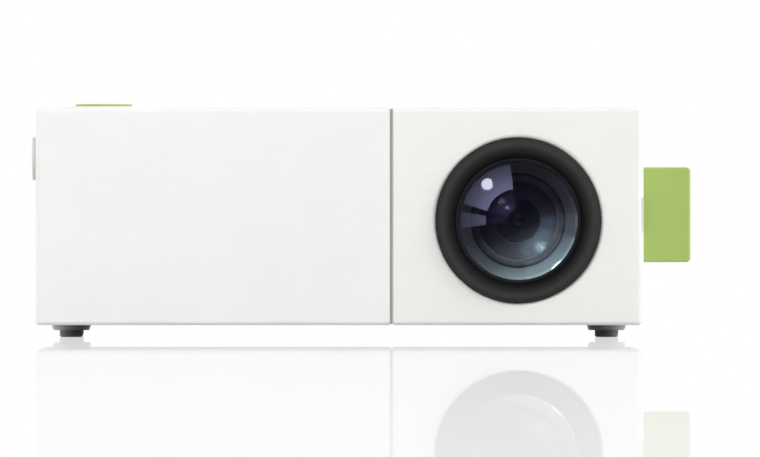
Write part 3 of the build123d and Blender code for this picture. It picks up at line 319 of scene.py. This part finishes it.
def light_baffle():
    """Satin black inside the lens, with painted light on the funnel near the rim and on the ribbed
    throat, brightest toward the lower right, and painted shade in the groove.
    """
    finish = Finish("light_baffle", 0.5, specular=0.35)
    radius = finish.maths("DIVIDE", finish.lens_radius(), MM)
    offset = finish.from_centre(lens_centre)
    lit_side_share = finish.spread(finish.along(offset, LIT_SIDE), 0, 1, -12.9 * MM, 12.9 * MM)
    # painted light on the funnel: dark on the upper left, teal and bright toward the lower right
    funnel = finish.ramp(
        lit_side_share,
        (0.0, (0.011, 0.010, 0.015)),
        (0.21, (0.015, 0.015, 0.021)),
        (0.30, (0.021, 0.021, 0.030)),
        (0.50, (0.028, 0.028, 0.039)),
        (0.71, (0.066, 0.078, 0.098)),
        (0.80, (0.095, 0.118, 0.142)),
        (0.91, (0.195, 0.265, 0.295)),
        (1.0, (0.300, 0.410, 0.430)),
    )
    # painted light on the throat, bright toward the lower right
    throat = finish.ramp(
        lit_side_share,
        (0.0, (0.006, 0.006, 0.010)),
        (0.5, (0.012, 0.012, 0.018)),
        (1.0, (0.250, 0.300, 0.330)),
    )
    inside = finish.spread(radius, 0, 1, 10.95, 10.8)
    # painted shade in the groove between the throat and the funnel
    groove = finish.ramp(
        finish.spread(radius, 0, 1, 8.6, 11.0),
        (0.0, (1, 1, 1)),
        (0.20, (1.0, 1.0, 1.0)),
        (0.30, (0.55, 0.55, 0.55)),
        (0.70, (0.32, 0.32, 0.32)),
        (0.88, (0.12, 0.12, 0.12)),
        (1.0, (0.9, 0.9, 0.9)),
    )
    base = finish.mix(inside, funnel, finish.mix(1.0, throat, groove, "MULTIPLY"))
    grain = finish.noise(0.2 * MM, 3.0)
    finish.feed("Base Color", finish.mix(1.0, base, finish.ramp(
        grain, (0.3, (0.88, 0.88, 0.88)), (0.7, (1, 1, 1))), "MULTIPLY"))
    finish.feed("Roughness", finish.spread(grain, 0.42, 0.56))
    finish.bump(grain, 0.15, 0.003 * MM)
    return finish.material


def stop_rings():
    """The stop's turned steps: fine concentric marks, with painted light from the lower right."""
    finish = Finish("stop_rings", 0.4, specular=0.5)
    radius = finish.lens_radius()
    offset = finish.from_centre(lens_centre)
    wave = finish.tree.nodes.new("ShaderNodeMath")
    wave.operation = "SINE"
    finish.link(finish.maths("MULTIPLY", radius, 2 * math.pi / (0.62 * MM)), wave.inputs[0])
    marks = wave.outputs[0]
    lit_side_share = finish.spread(finish.along(offset, LIT_SIDE), 0, 1, -9 * MM, 9 * MM)
    # painted light across the steps, bright toward the lower right
    tone = finish.ramp(
        lit_side_share,
        (0.0, (0.008, 0.006, 0.014)),
        (0.45, (0.012, 0.012, 0.018)),
        (0.62, (0.035, 0.040, 0.055)),
        (0.80, (0.150, 0.180, 0.220)),
        (1.0, (0.240, 0.300, 0.340)),
    )
    centre = finish.ramp(
        finish.maths("DIVIDE", radius, 9.2 * MM),
        (0.0, (0.90, 0.90, 0.90)),
        (0.18, (0.90, 0.90, 0.90)),
        (0.20, (1.0, 1.0, 1.0)),
        (0.56, (0.80, 0.80, 0.80)),
        (0.60, (0.45, 0.45, 0.45)),
        (1.0, (0.60, 0.60, 0.60)),
    )
    lines = finish.ramp(
        finish.spread(marks, 0, 1, -1, 1),
        (0.2, (0.72, 0.72, 0.72)),
        (0.85, (1.15, 1.15, 1.18)),
    )
    shaded = finish.mix(1.0, tone, centre, "MULTIPLY")
    finish.feed("Base Color", finish.mix(1.0, shaded, lines, "MULTIPLY"))
    finish.feed("Roughness", finish.spread(marks, 0.34, 0.46, -1, 1))
    finish.bump(marks, 0.2, 0.01 * MM)
    return finish.material


def coating(name, tint, alpha, roughness=0.03, edge_alpha=None):
    """A thin anti-reflection film on glass: nearly clear, and a coloured mirror to what is bright.

    Its colour drifts from the middle of the glass to the edge, as the film's thickness does.
    With edge_alpha, the film is made more reflective in a narrow band round the edge, a painted
    boost that brightens the lamp's highlight there."""
    finish = Finish(name, roughness, metallic=1.0, alpha=alpha)
    radius = finish.maths("DIVIDE", finish.lens_radius(), GLASS_RADIUS)
    finish.feed("Base Color", finish.ramp(radius, (0.3, tint), (0.95, shade(tint, 0.9))))
    if edge_alpha:
        # a painted boost: extra reflection in a band round the edge, to brighten the lamp's
        # highlight there
        finish.feed("Alpha", finish.spread(radius, alpha, edge_alpha, 0.94, 0.97))
    return finish.material


def clear_pane():
    """Clear optical plastic with a faint edge tint and slightly uneven polish."""
    finish = Finish("clear_pane", 0.08)
    finish.set("Transmission Weight", 1.0)
    finish.set("IOR", 1.49)
    haze = finish.noise(3 * MM, 2.0)
    tone = finish.ramp(haze, (0.3, (0.93, 0.96, 0.97)), (0.7, (0.98, 0.99, 1.0)))
    finish.feed("Base Color", tone)
    finish.feed("Roughness", finish.spread(haze, 0.03, 0.10))
    return finish.material


def dark_panel():
    """A liquid crystal panel: dark glass over a fine pixel grid."""
    finish = Finish("dark_panel", 0.12, specular=0.6)
    checker = finish.tree.nodes.new("ShaderNodeTexChecker")
    checker.inputs["Scale"].default_value = 1 / (0.3 * MM)
    checker.inputs["Color1"].default_value = (0.012, 0.012, 0.02, 1)
    checker.inputs["Color2"].default_value = (0.03, 0.03, 0.045, 1)
    finish.link(finish.place, checker.inputs["Vector"])
    finish.feed("Base Color", checker.outputs["Color"])
    finish.feed("Roughness", finish.spread(finish.noise(5 * MM), 0.08, 0.16))
    return finish.material


def circuit_board():
    """Green solder mask over darker traces, with a woven glass core showing through."""
    finish = Finish("circuit_board", 0.35, specular=0.5)
    brick = finish.tree.nodes.new("ShaderNodeTexBrick")
    brick.inputs["Scale"].default_value = 1 / (9 * MM)
    brick.inputs["Mortar Size"].default_value = 0.03
    brick.inputs["Color1"].default_value = (0.012, 0.095, 0.035, 1)
    brick.inputs["Color2"].default_value = (0.015, 0.110, 0.042, 1)
    brick.inputs["Mortar"].default_value = (0.035, 0.18, 0.07, 1)
    finish.link(finish.place, brick.inputs["Vector"])
    weave = finish.noise(0.4 * MM, 2.0)
    speck = finish.ramp(weave, (0.35, (0.85, 0.85, 0.85)), (0.65, (1, 1, 1)))
    finish.feed("Base Color", finish.mix(1.0, brick.outputs["Color"], speck, "MULTIPLY"))
    finish.feed("Roughness", finish.spread(weave, 0.28, 0.42))
    finish.bump(brick.outputs["Fac"], 0.2, 0.02 * MM)
    return finish.material


def lamp_phosphor():
    """Yellow phosphor gel over the lamp's diodes, in small domed cells."""
    finish = Finish("lamp_phosphor", 0.3)
    cells = finish.tree.nodes.new("ShaderNodeTexVoronoi")
    cells.inputs["Scale"].default_value = 1 / (1.1 * MM)
    finish.link(finish.place, cells.inputs["Vector"])
    distance = cells.outputs["Distance"]
    tone = finish.ramp(distance, (0.1, (0.90, 0.66, 0.10)), (0.7, (0.80, 0.50, 0.05)))
    finish.feed("Base Color", tone)
    finish.feed("Roughness", finish.spread(cells.outputs["Distance"], 0.2, 0.45, 0, 0.7))
    finish.bump(cells.outputs["Distance"], 0.3, 0.05 * MM)
    return finish.material


def ribbon():
    """Amber polyimide ribbon with copper tracks along its length."""
    finish = Finish("ribbon", 0.35)
    tracks = finish.tree.nodes.new("ShaderNodeTexWave")
    tracks.inputs["Scale"].default_value = 1 / (4 * MM)
    tracks.inputs["Distortion"].default_value = 0.2
    finish.link(finish.place, tracks.inputs["Vector"])
    tone = finish.ramp(tracks.outputs["Fac"], (0.4, (0.42, 0.16, 0.02)), (0.6, (0.62, 0.28, 0.05)))
    finish.feed("Base Color", tone)
    finish.feed("Roughness", finish.spread(finish.noise(2 * MM), 0.28, 0.42))
    finish.bump(tracks.outputs["Fac"], 0.15, 0.02 * MM)
    return finish.material


def paper_cone():
    """Pressed paper fibre for the speaker's cone."""
    finish = Finish("paper_cone", 0.85, specular=0.2)
    fibre = finish.noise(0.5 * MM, 5.0, (3, 1, 1))
    tone = finish.ramp(fibre, (0.3, (0.014, 0.014, 0.015)), (0.7, (0.035, 0.034, 0.033)))
    finish.feed("Base Color", tone)
    finish.feed("Roughness", finish.spread(fibre, 0.75, 0.95))
    finish.bump(fibre, 0.5, 0.02 * MM)
    return finish.material


WHITE = (0.800, 0.800, 0.788)
WARM_WHITE = (0.785, 0.790, 0.752)
GREEN = (0.385, 0.515, 0.140)

white = moulded("white_shell_plastic", WHITE, 0.52, strength=0.3)
warm_white = moulded("warm_white_plastic", WARM_WHITE, 0.52, strength=0.3)
grey_band = seam_grey()
grey_base = moulded("base_grey", (0.58, 0.58, 0.56), 0.6, grain=0.6 * MM)
key_white = moulded("key_white", (0.66, 0.66, 0.645), 0.42, grain=0.2 * MM, strength=0.15)
green = moulded("green_soft_plastic", GREEN, 0.48, grain=0.3 * MM, strength=0.2,
                variation=0.015, specular=0.35)
barrel_black = moulded("barrel_black_plastic", (0.012, 0.012, 0.013), 0.55, specular=0.3)
part_black = moulded("component_black_plastic", (0.03, 0.03, 0.032), 0.45)
gloss_black = moulded("window_black", (0.015, 0.010, 0.014), 0.12, strength=0.03, variation=0.1)
steel = metal("screw_steel", (0.56, 0.56, 0.57), 0.32)
brass = metal("insert_brass", (0.78, 0.57, 0.25), 0.3, (1, 1, 4))
sheet_metal = metal("socket_sheet_metal", (0.70, 0.70, 0.70), 0.28, (6, 1, 1))
aluminium = metal("milled_aluminium", (0.78, 0.78, 0.79), 0.34, (1, 8, 1))
mirror = metal("front_silvered_mirror", (0.93, 0.93, 0.93), 0.08, grain=4 * MM, depth=0.0005 * MM)

looks = {
    white: ["main_shell", "top_panel", "rear_panel"],
    warm_white: ["lens_shell", "focus_arm"],
    grey_band: ["seam_band"],
    grey_base: ["base_plate"],
    steel: ["base_screws", "board_screws", "engine_screws", "sleeve_screws", "focus_screws",
            "nav_gimbal"],
    brass: ["tripod_insert"],
    collar_chrome(): ["foot_collars"],
    rubber(): ["foot_pads"],
    black_ring_painted_shading(): ["lens_ring"],
    barrel_black: ["lens_sleeve", "lens_barrel", "lens_retainer", "fan_frame", "fan_rotor",
                   "engine_tray", "engine_lid"],
    light_baffle(): ["baffle_ring"],
    stop_rings(): ["aperture_stop"],
    clear_pane(): ["condenser_lens", "heat_glass", "rear_fresnel", "front_fresnel", "rear_lens"],
    dark_panel(): ["lcd_panel"],
    mirror: ["fold_mirror"],
    ribbon(): ["lcd_flex"],
    aluminium: ["led_heatsink", "led_board"],
    lamp_phosphor(): ["led_emitter"],
    circuit_board(): ["main_board", "keypad_board", "power_board", "ir_receiver"],
    part_black: ["board_parts", "audio_jack", "av_jack", "dc_jack"],
    sheet_metal: ["hdmi_socket", "usb_socket", "card_socket", "speaker"],
    paper_cone(): ["speaker_cone"],
    gloss_black: ["ir_window"],
    green: ["focus_tab", "nav_disc"],
    key_white: ["ok_button", "menu_button", "source_button", "power_button"],
}
for material, names in looks.items():
    for name in names:
        if name in nodes:
            nodes[name].data.materials.clear()
            nodes[name].data.materials.append(material)


# ------------------------------------------------------------------ lens glass
SEGMENTS = 224
ARC_STEPS = 48


def arc(vertex, sphere_radius, edge, way, start=0.0):
    """Points of a spherical surface from start to edge, as (distance from axis, depth)."""
    points = []
    for step in range(ARC_STEPS + 1):
        r = start + (edge - start) * step / ARC_STEPS
        points.append((r, vertex + way * (sphere_radius - math.sqrt(sphere_radius**2 - r**2))))
    return points


def lathe(name, bands, finishes, body):
    """Turns bands of (finish index, points) about the lens axis into one closed mesh."""
    mesh = bmesh.new()

    def loop(r, depth):
        if r < 1e-7:
            return [mesh.verts.new((lens_x, front + depth, lens_z))] * SEGMENTS
        turns = [2 * math.pi * i / SEGMENTS for i in range(SEGMENTS)]
        return [
            mesh.verts.new((lens_x + r * math.cos(t), front + depth, lens_z + r * math.sin(t)))
            for t in turns]

    previous = None
    for finish, points in bands:
        for r, depth in points:
            current = loop(r, depth)
            if previous:
                for i in range(SEGMENTS):
                    j = (i + 1) % SEGMENTS
                    corners = [previous[i], previous[j], current[j], current[i]]
                    face = mesh.faces.new(list(dict.fromkeys(corners)))
                    face.material_index = finish
                    face.smooth = True
            previous = current
    bmesh.ops.recalc_face_normals(mesh, faces=mesh.faces)
    data = bpy.data.meshes.new(name)
    mesh.to_mesh(data)
    mesh.free()
    data.set_sharp_from_angle(angle=math.radians(20))
    for material in finishes:
        data.materials.append(material)
    piece = bpy.data.objects.new(name, data)
    bpy.context.scene.collection.objects.link(piece)
    piece.visible_shadow = False
    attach(piece, body)
    return piece


def depth_range(node):
    low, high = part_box(node)
    return low.y - front, high.y - front


edge_black = moulded("blackened_lens_edge", (0.008, 0.008, 0.009), 0.6, specular=0.2)

front_vertex, tail_vertex = depth_range("front_lens")
front_edge = (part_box("front_lens")[1].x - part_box("front_lens")[0].x) / 2
front_face = arc(front_vertex, 48.0 * MM, front_edge, 1)
front_tail = arc(tail_vertex, 57.6 * MM, front_edge, -1)
front_glass = lathe(
    "front_glass",
    [(0, front_face), (1, [front_tail[-1]]), (2, front_tail[-2::-1])],
    [
        coating("front_coating", (0.80, 0.80, 1.0), 0.045, 0.02),
        edge_black,
        coating("front_back_coating", (0.80, 0.98, 1.0), 0.012, 0.03, edge_alpha=0.075),
    ],
    "focus",
)
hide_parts("front_lens")

throat = 9.0 * MM
flange = (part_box("middle_lens")[1].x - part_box("middle_lens")[0].x) / 2
flange_back = 15.9 * MM
middle_vertex, middle_tail = depth_range("middle_lens")
middle_face = arc(middle_vertex, 25.7 * MM, throat, 1)
middle_back = arc(middle_tail, 33.6 * MM, throat, -1)
middle_glass = lathe(
    "middle_glass",
    [
        (0, middle_face),
        (1, [(flange, middle_face[-1][1]), (flange, flange_back), (throat, flange_back),
             middle_back[-1]]),
        (2, middle_back[-2::-1]),
    ],
    [
        coating("middle_coating", (0.72, 0.55, 0.95), 0.009, 0.02),
        edge_black,
        coating("middle_back_coating", (0.62, 0.92, 1.0), 0.034, 0.14),
    ],
    "focus",
)
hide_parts("middle_lens")

inner_vertex, inner_tail = depth_range("inner_lens")
inner_edge = (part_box("inner_lens")[1].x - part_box("inner_lens")[0].x) / 2
inner_face = arc(inner_vertex, 16.2 * MM, inner_edge, 1)
tail_sphere = 60.0 * MM
tail_flat = inner_tail - (tail_sphere - math.sqrt(tail_sphere**2 - inner_edge**2))
inner_back = arc(tail_flat, tail_sphere, inner_edge, 1)
inner_glass = lathe(
    "inner_glass",
    [(0, inner_face), (1, [inner_back[-1]]), (2, inner_back[-2::-1])],
    [
        coating("inner_coating", (0.75, 0.60, 0.95), 0.010, 0.02),
        edge_black,
        coating("inner_back_coating", (0.6, 0.7, 1.0), 0.01, 0.05),
    ],
    "focus",
)
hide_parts("inner_lens")


# ------------------------------------------------------------------ studio
def emission_material(name, colour, strength, attribute=None, one_sided=False):
    material = bpy.data.materials.new(name)
    material.use_nodes = True
    tree = material.node_tree
    tree.nodes.clear()
    output = tree.nodes.new("ShaderNodeOutputMaterial")
    glow = tree.nodes.new("ShaderNodeEmission")
    glow.inputs["Color"].default_value = (*colour, 1)
    glow.inputs["Strength"].default_value = strength
    if attribute:
        level = tree.nodes.new("ShaderNodeAttribute")
        level.attribute_name = attribute
        scale = tree.nodes.new("ShaderNodeMath")
        scale.operation = "MULTIPLY"
        scale.inputs[1].default_value = strength
        tree.links.new(level.outputs["Fac"], scale.inputs[0])
        tree.links.new(scale.outputs[0], glow.inputs["Strength"])
    surface = glow.outputs[0]
    if one_sided:
        clear = tree.nodes.new("ShaderNodeBsdfTransparent")
        choose = tree.nodes.new("ShaderNodeMixShader")
        geometry = tree.nodes.new("ShaderNodeNewGeometry")
        tree.links.new(geometry.outputs["Backfacing"], choose.inputs[0])
        tree.links.new(surface, choose.inputs[1])
        tree.links.new(clear.outputs[0], choose.inputs[2])
        surface = choose.outputs[0]
    tree.links.new(surface, output.inputs["Surface"])
    return material


def reflected_card(name, distance, azimuths, polars, material, levels=None):
    """A curved card in front of the lens, seen only in reflections; it faces the lens.

    azimuths run counter-clockwise from +X seen from the front, polars start at the lens axis."""
    steps_round, steps_out = 48, 8
    mesh = bmesh.new()
    layer = mesh.verts.layers.float_color.new("level")
    rows = []
    for a in range(steps_round + 1):
        azimuth = math.radians(azimuths[0] + (azimuths[1] - azimuths[0]) * a / steps_round)
        row = []
        for p in range(steps_out + 1):
            share = p / steps_out
            polar = math.radians(polars[0] + (polars[1] - polars[0]) * share)
            way = Vector((
                math.sin(polar) * math.cos(azimuth),
                -math.cos(polar),
                math.sin(polar) * math.sin(azimuth),
            ))
            vertex = mesh.verts.new(lens_centre + way * distance)
            level = levels[0] + (levels[1] - levels[0]) * share if levels else 1.0
            vertex[layer] = (level, level, level, 1)
            row.append(vertex)
        rows.append(row)
    for first, second in zip(rows, rows[1:]):
        for p in range(steps_out):
            mesh.faces.new([first[p], second[p], second[p + 1], first[p + 1]])
    for face in mesh.faces:
        if face.normal.dot(lens_centre - face.calc_center_median()) < 0:
            face.normal_flip()
    return stage_piece(name, mesh, material, glossy_only=True)


def stage_piece(name, mesh, material, glossy_only=False):
    mesh.normal_update()
    data = bpy.data.meshes.new(name)
    mesh.to_mesh(data)
    mesh.free()
    data.materials.append(material)
    piece = bpy.data.objects.new(name, data)
    bpy.context.scene.collection.objects.link(piece)
    if glossy_only:
        piece.visible_camera = False
        piece.visible_diffuse = False
        piece.visible_shadow = False
        piece.visible_transmission = False
        piece.visible_volume_scatter = False
    return piece


def quad(width, depth, centre):
    mesh = bmesh.new()
    x, y, z = centre
    corners = [(x - width / 2, y - depth / 2), (x + width / 2, y - depth / 2),
               (x + width / 2, y + depth / 2), (x - width / 2, y + depth / 2)]
    mesh.faces.new([mesh.verts.new((cx, cy, z)) for cx, cy in corners])
    return mesh


MIRROR_FAR_Y, MIRROR_FAR_SHARE = -2.4, 0.14
MIRROR_NEAR_Y, MIRROR_NEAR_SHARE = -0.05, 0.35


def floor_material():
    """A white table with a mirror image that fades with distance from the object."""
    material = bpy.data.materials.new("white_table")
    material.use_nodes = True
    tree = material.node_tree
    tree.nodes.clear()
    output = tree.nodes.new("ShaderNodeOutputMaterial")
    glow = tree.nodes.new("ShaderNodeEmission")
    glow.inputs["Strength"].default_value = 1.0
    gloss = tree.nodes.new("ShaderNodeBsdfGlossy")
    gloss.inputs["Roughness"].default_value = 0.0
    gloss.inputs["Color"].default_value = (1, 1, 1, 1)
    place = tree.nodes.new("ShaderNodeTexCoord")
    split = tree.nodes.new("ShaderNodeSeparateXYZ")
    fade = tree.nodes.new("ShaderNodeMapRange")
    for name, number in (
            ("From Min", MIRROR_FAR_Y), ("From Max", MIRROR_NEAR_Y),
            ("To Min", MIRROR_FAR_SHARE), ("To Max", MIRROR_NEAR_SHARE)):
        fade.inputs[name].default_value = number
    mixer = tree.nodes.new("ShaderNodeMixShader")
    tree.links.new(place.outputs["Object"], split.inputs[0])
    tree.links.new(split.outputs["Y"], fade.inputs["Value"])
    tree.links.new(fade.outputs["Result"], mixer.inputs[0])
    tree.links.new(glow.outputs[0], mixer.inputs[1])
    tree.links.new(gloss.outputs[0], mixer.inputs[2])
    tree.links.new(mixer.outputs[0], output.inputs["Surface"])
    return material


table = stage_piece("table", quad(12, 12, (0, 0, 0)), floor_material())
table.visible_diffuse = False
table.visible_shadow = False
table.visible_glossy = False

bounce_material = bpy.data.materials.new("bounce_grey")
bounce_material.use_nodes = True
bounce_shader = bounce_material.node_tree.nodes["Principled BSDF"]
bounce_shader.inputs["Base Color"].default_value = (0.55, 0.55, 0.55, 1)
bounce_shader.inputs["Roughness"].default_value = 1.0
bounce = stage_piece("bounce_floor", quad(4, 4, (0, 0, -0.0002)), bounce_material)
bounce.visible_camera = False
bounce.visible_glossy = False
bounce.visible_transmission = False
bounce.visible_shadow = False

DARK_CARD_DISTANCE = 4.2
SOFTBOX_DISTANCE = 0.55
SOFTBOX_STRENGTH = 5.0
SOFTBOX_POLARS = (18.2, 36.0)
card_purple = emission_material("card_purple", (0.30, 0.22, 0.55), 0.10, one_sided=True)
reflected_card("dark_card", DARK_CARD_DISTANCE, (0, 360), (0.0, 62.0), card_purple)
softbox_glow = emission_material("softbox_glow", (0.72, 0.74, 1.0), SOFTBOX_STRENGTH,
                                 attribute="level", one_sided=True)
reflected_card("softbox_large", SOFTBOX_DISTANCE, (97.0, 162.5), SOFTBOX_POLARS,
               softbox_glow, (1.0, 0.02))
reflected_card("softbox_small", SOFTBOX_DISTANCE, (171.0, 187.5), SOFTBOX_POLARS,
               softbox_glow, (0.55, 0.03))


def round_lamp(name, azimuth, polar, angular_radius, strength):
    a, p = math.radians(azimuth), math.radians(polar)
    way = Vector((math.sin(p) * math.cos(a), -math.cos(p), math.sin(p) * math.sin(a)))
    centre = lens_centre + way * (SOFTBOX_DISTANCE - 0.02)
    side = way.cross(Vector((0, 0, 1))).normalized()
    rise = side.cross(way).normalized()
    radius = SOFTBOX_DISTANCE * math.tan(math.radians(angular_radius))
    mesh = bmesh.new()
    turns = [2 * math.pi * i / 64 for i in range(64)]
    face = mesh.faces.new([
        mesh.verts.new(centre + side * (radius * math.cos(t)) + rise * (radius * math.sin(t)))
        for t in turns])
    face.normal_update()
    if face.normal.dot(way) > 0:
        face.normal_flip()
    glow = emission_material(name + "_glow", (1.0, 1.0, 1.0), strength, one_sided=True)
    return stage_piece(name, mesh, glow, glossy_only=True)


round_lamp("round_lamp", 129.6, 27.2, 3.2, 20.0)


def area_light(name, place, size, power, colour=(1, 1, 1), target=(0, 0, 0.025), glossy=False):
    data = bpy.data.lights.new(name, "AREA")
    data.shape = "SQUARE"
    data.size = size
    data.energy = power
    data.color = colour
    light = bpy.data.objects.new(name, data)
    bpy.context.scene.collection.objects.link(light)
    light.location = place
    light.rotation_euler = (Vector(target) - Vector(place)).to_track_quat("-Z", "Y").to_euler()
    light.visible_glossy = glossy
    return light


area_light("front_soft", (0.35, -1.8, 0.5), 0.8, 9.3)
area_light("left_fill", (-0.42, -0.5, 0.42), 0.3, 2.2)
area_light("right_key", (0.75, -0.30, 0.42), 0.25, 4.2)
area_light("right_soft", (1.2, -0.1, 0.35), 0.4, 1.6)
area_light("back_soft", (0.2, 1.5, 0.9), 0.9, 18)
area_light("left_soft", (-1.3, 0.3, 0.5), 0.8, 7)
area_light("under_fill", (0, -0.6, -0.5), 0.6, 1.2)

world = bpy.data.worlds.new("studio")
bpy.context.scene.world = world
world.use_nodes = True
world_nodes = world.node_tree.nodes
world_nodes.clear()
world_output = world_nodes.new("ShaderNodeOutputWorld")
bright = world_nodes.new("ShaderNodeBackground")
bright.inputs["Color"].default_value = (1, 1, 1, 1)
bright.inputs["Strength"].default_value = 1.0
soft = world_nodes.new("ShaderNodeBackground")
soft.inputs["Color"].default_value = (1, 1, 1, 1)
soft.inputs["Strength"].default_value = 0.31
ray = world_nodes.new("ShaderNodeLightPath")
choice = world_nodes.new("ShaderNodeMixShader")
world.node_tree.links.new(ray.outputs["Is Diffuse Ray"], choice.inputs[0])
world.node_tree.links.new(bright.outputs[0], choice.inputs[1])
world.node_tree.links.new(soft.outputs[0], choice.inputs[2])
world.node_tree.links.new(choice.outputs[0], world_output.inputs["Surface"])

# ------------------------------------------------------------------ camera
CAMERA_LENS = 707.4
CAMERA_DISTANCE = 3.4
CAMERA_FROM_LEFT = 78.4 * MM
CAMERA_HEIGHT = 24.8 * MM
camera_data = bpy.data.cameras.new("camera")
camera_data.sensor_width = 36.0
camera_data.lens = CAMERA_LENS
camera_data.clip_start = 0.5
camera_data.clip_end = 60.0
camera = bpy.data.objects.new("camera", camera_data)
bpy.context.scene.collection.objects.link(camera)
camera.location = (left + CAMERA_FROM_LEFT, front - CAMERA_DISTANCE, CAMERA_HEIGHT)
camera.rotation_euler = (math.radians(90), 0, 0)
bpy.context.scene.camera = camera
bpy.context.scene.view_settings.view_transform = "Standard"
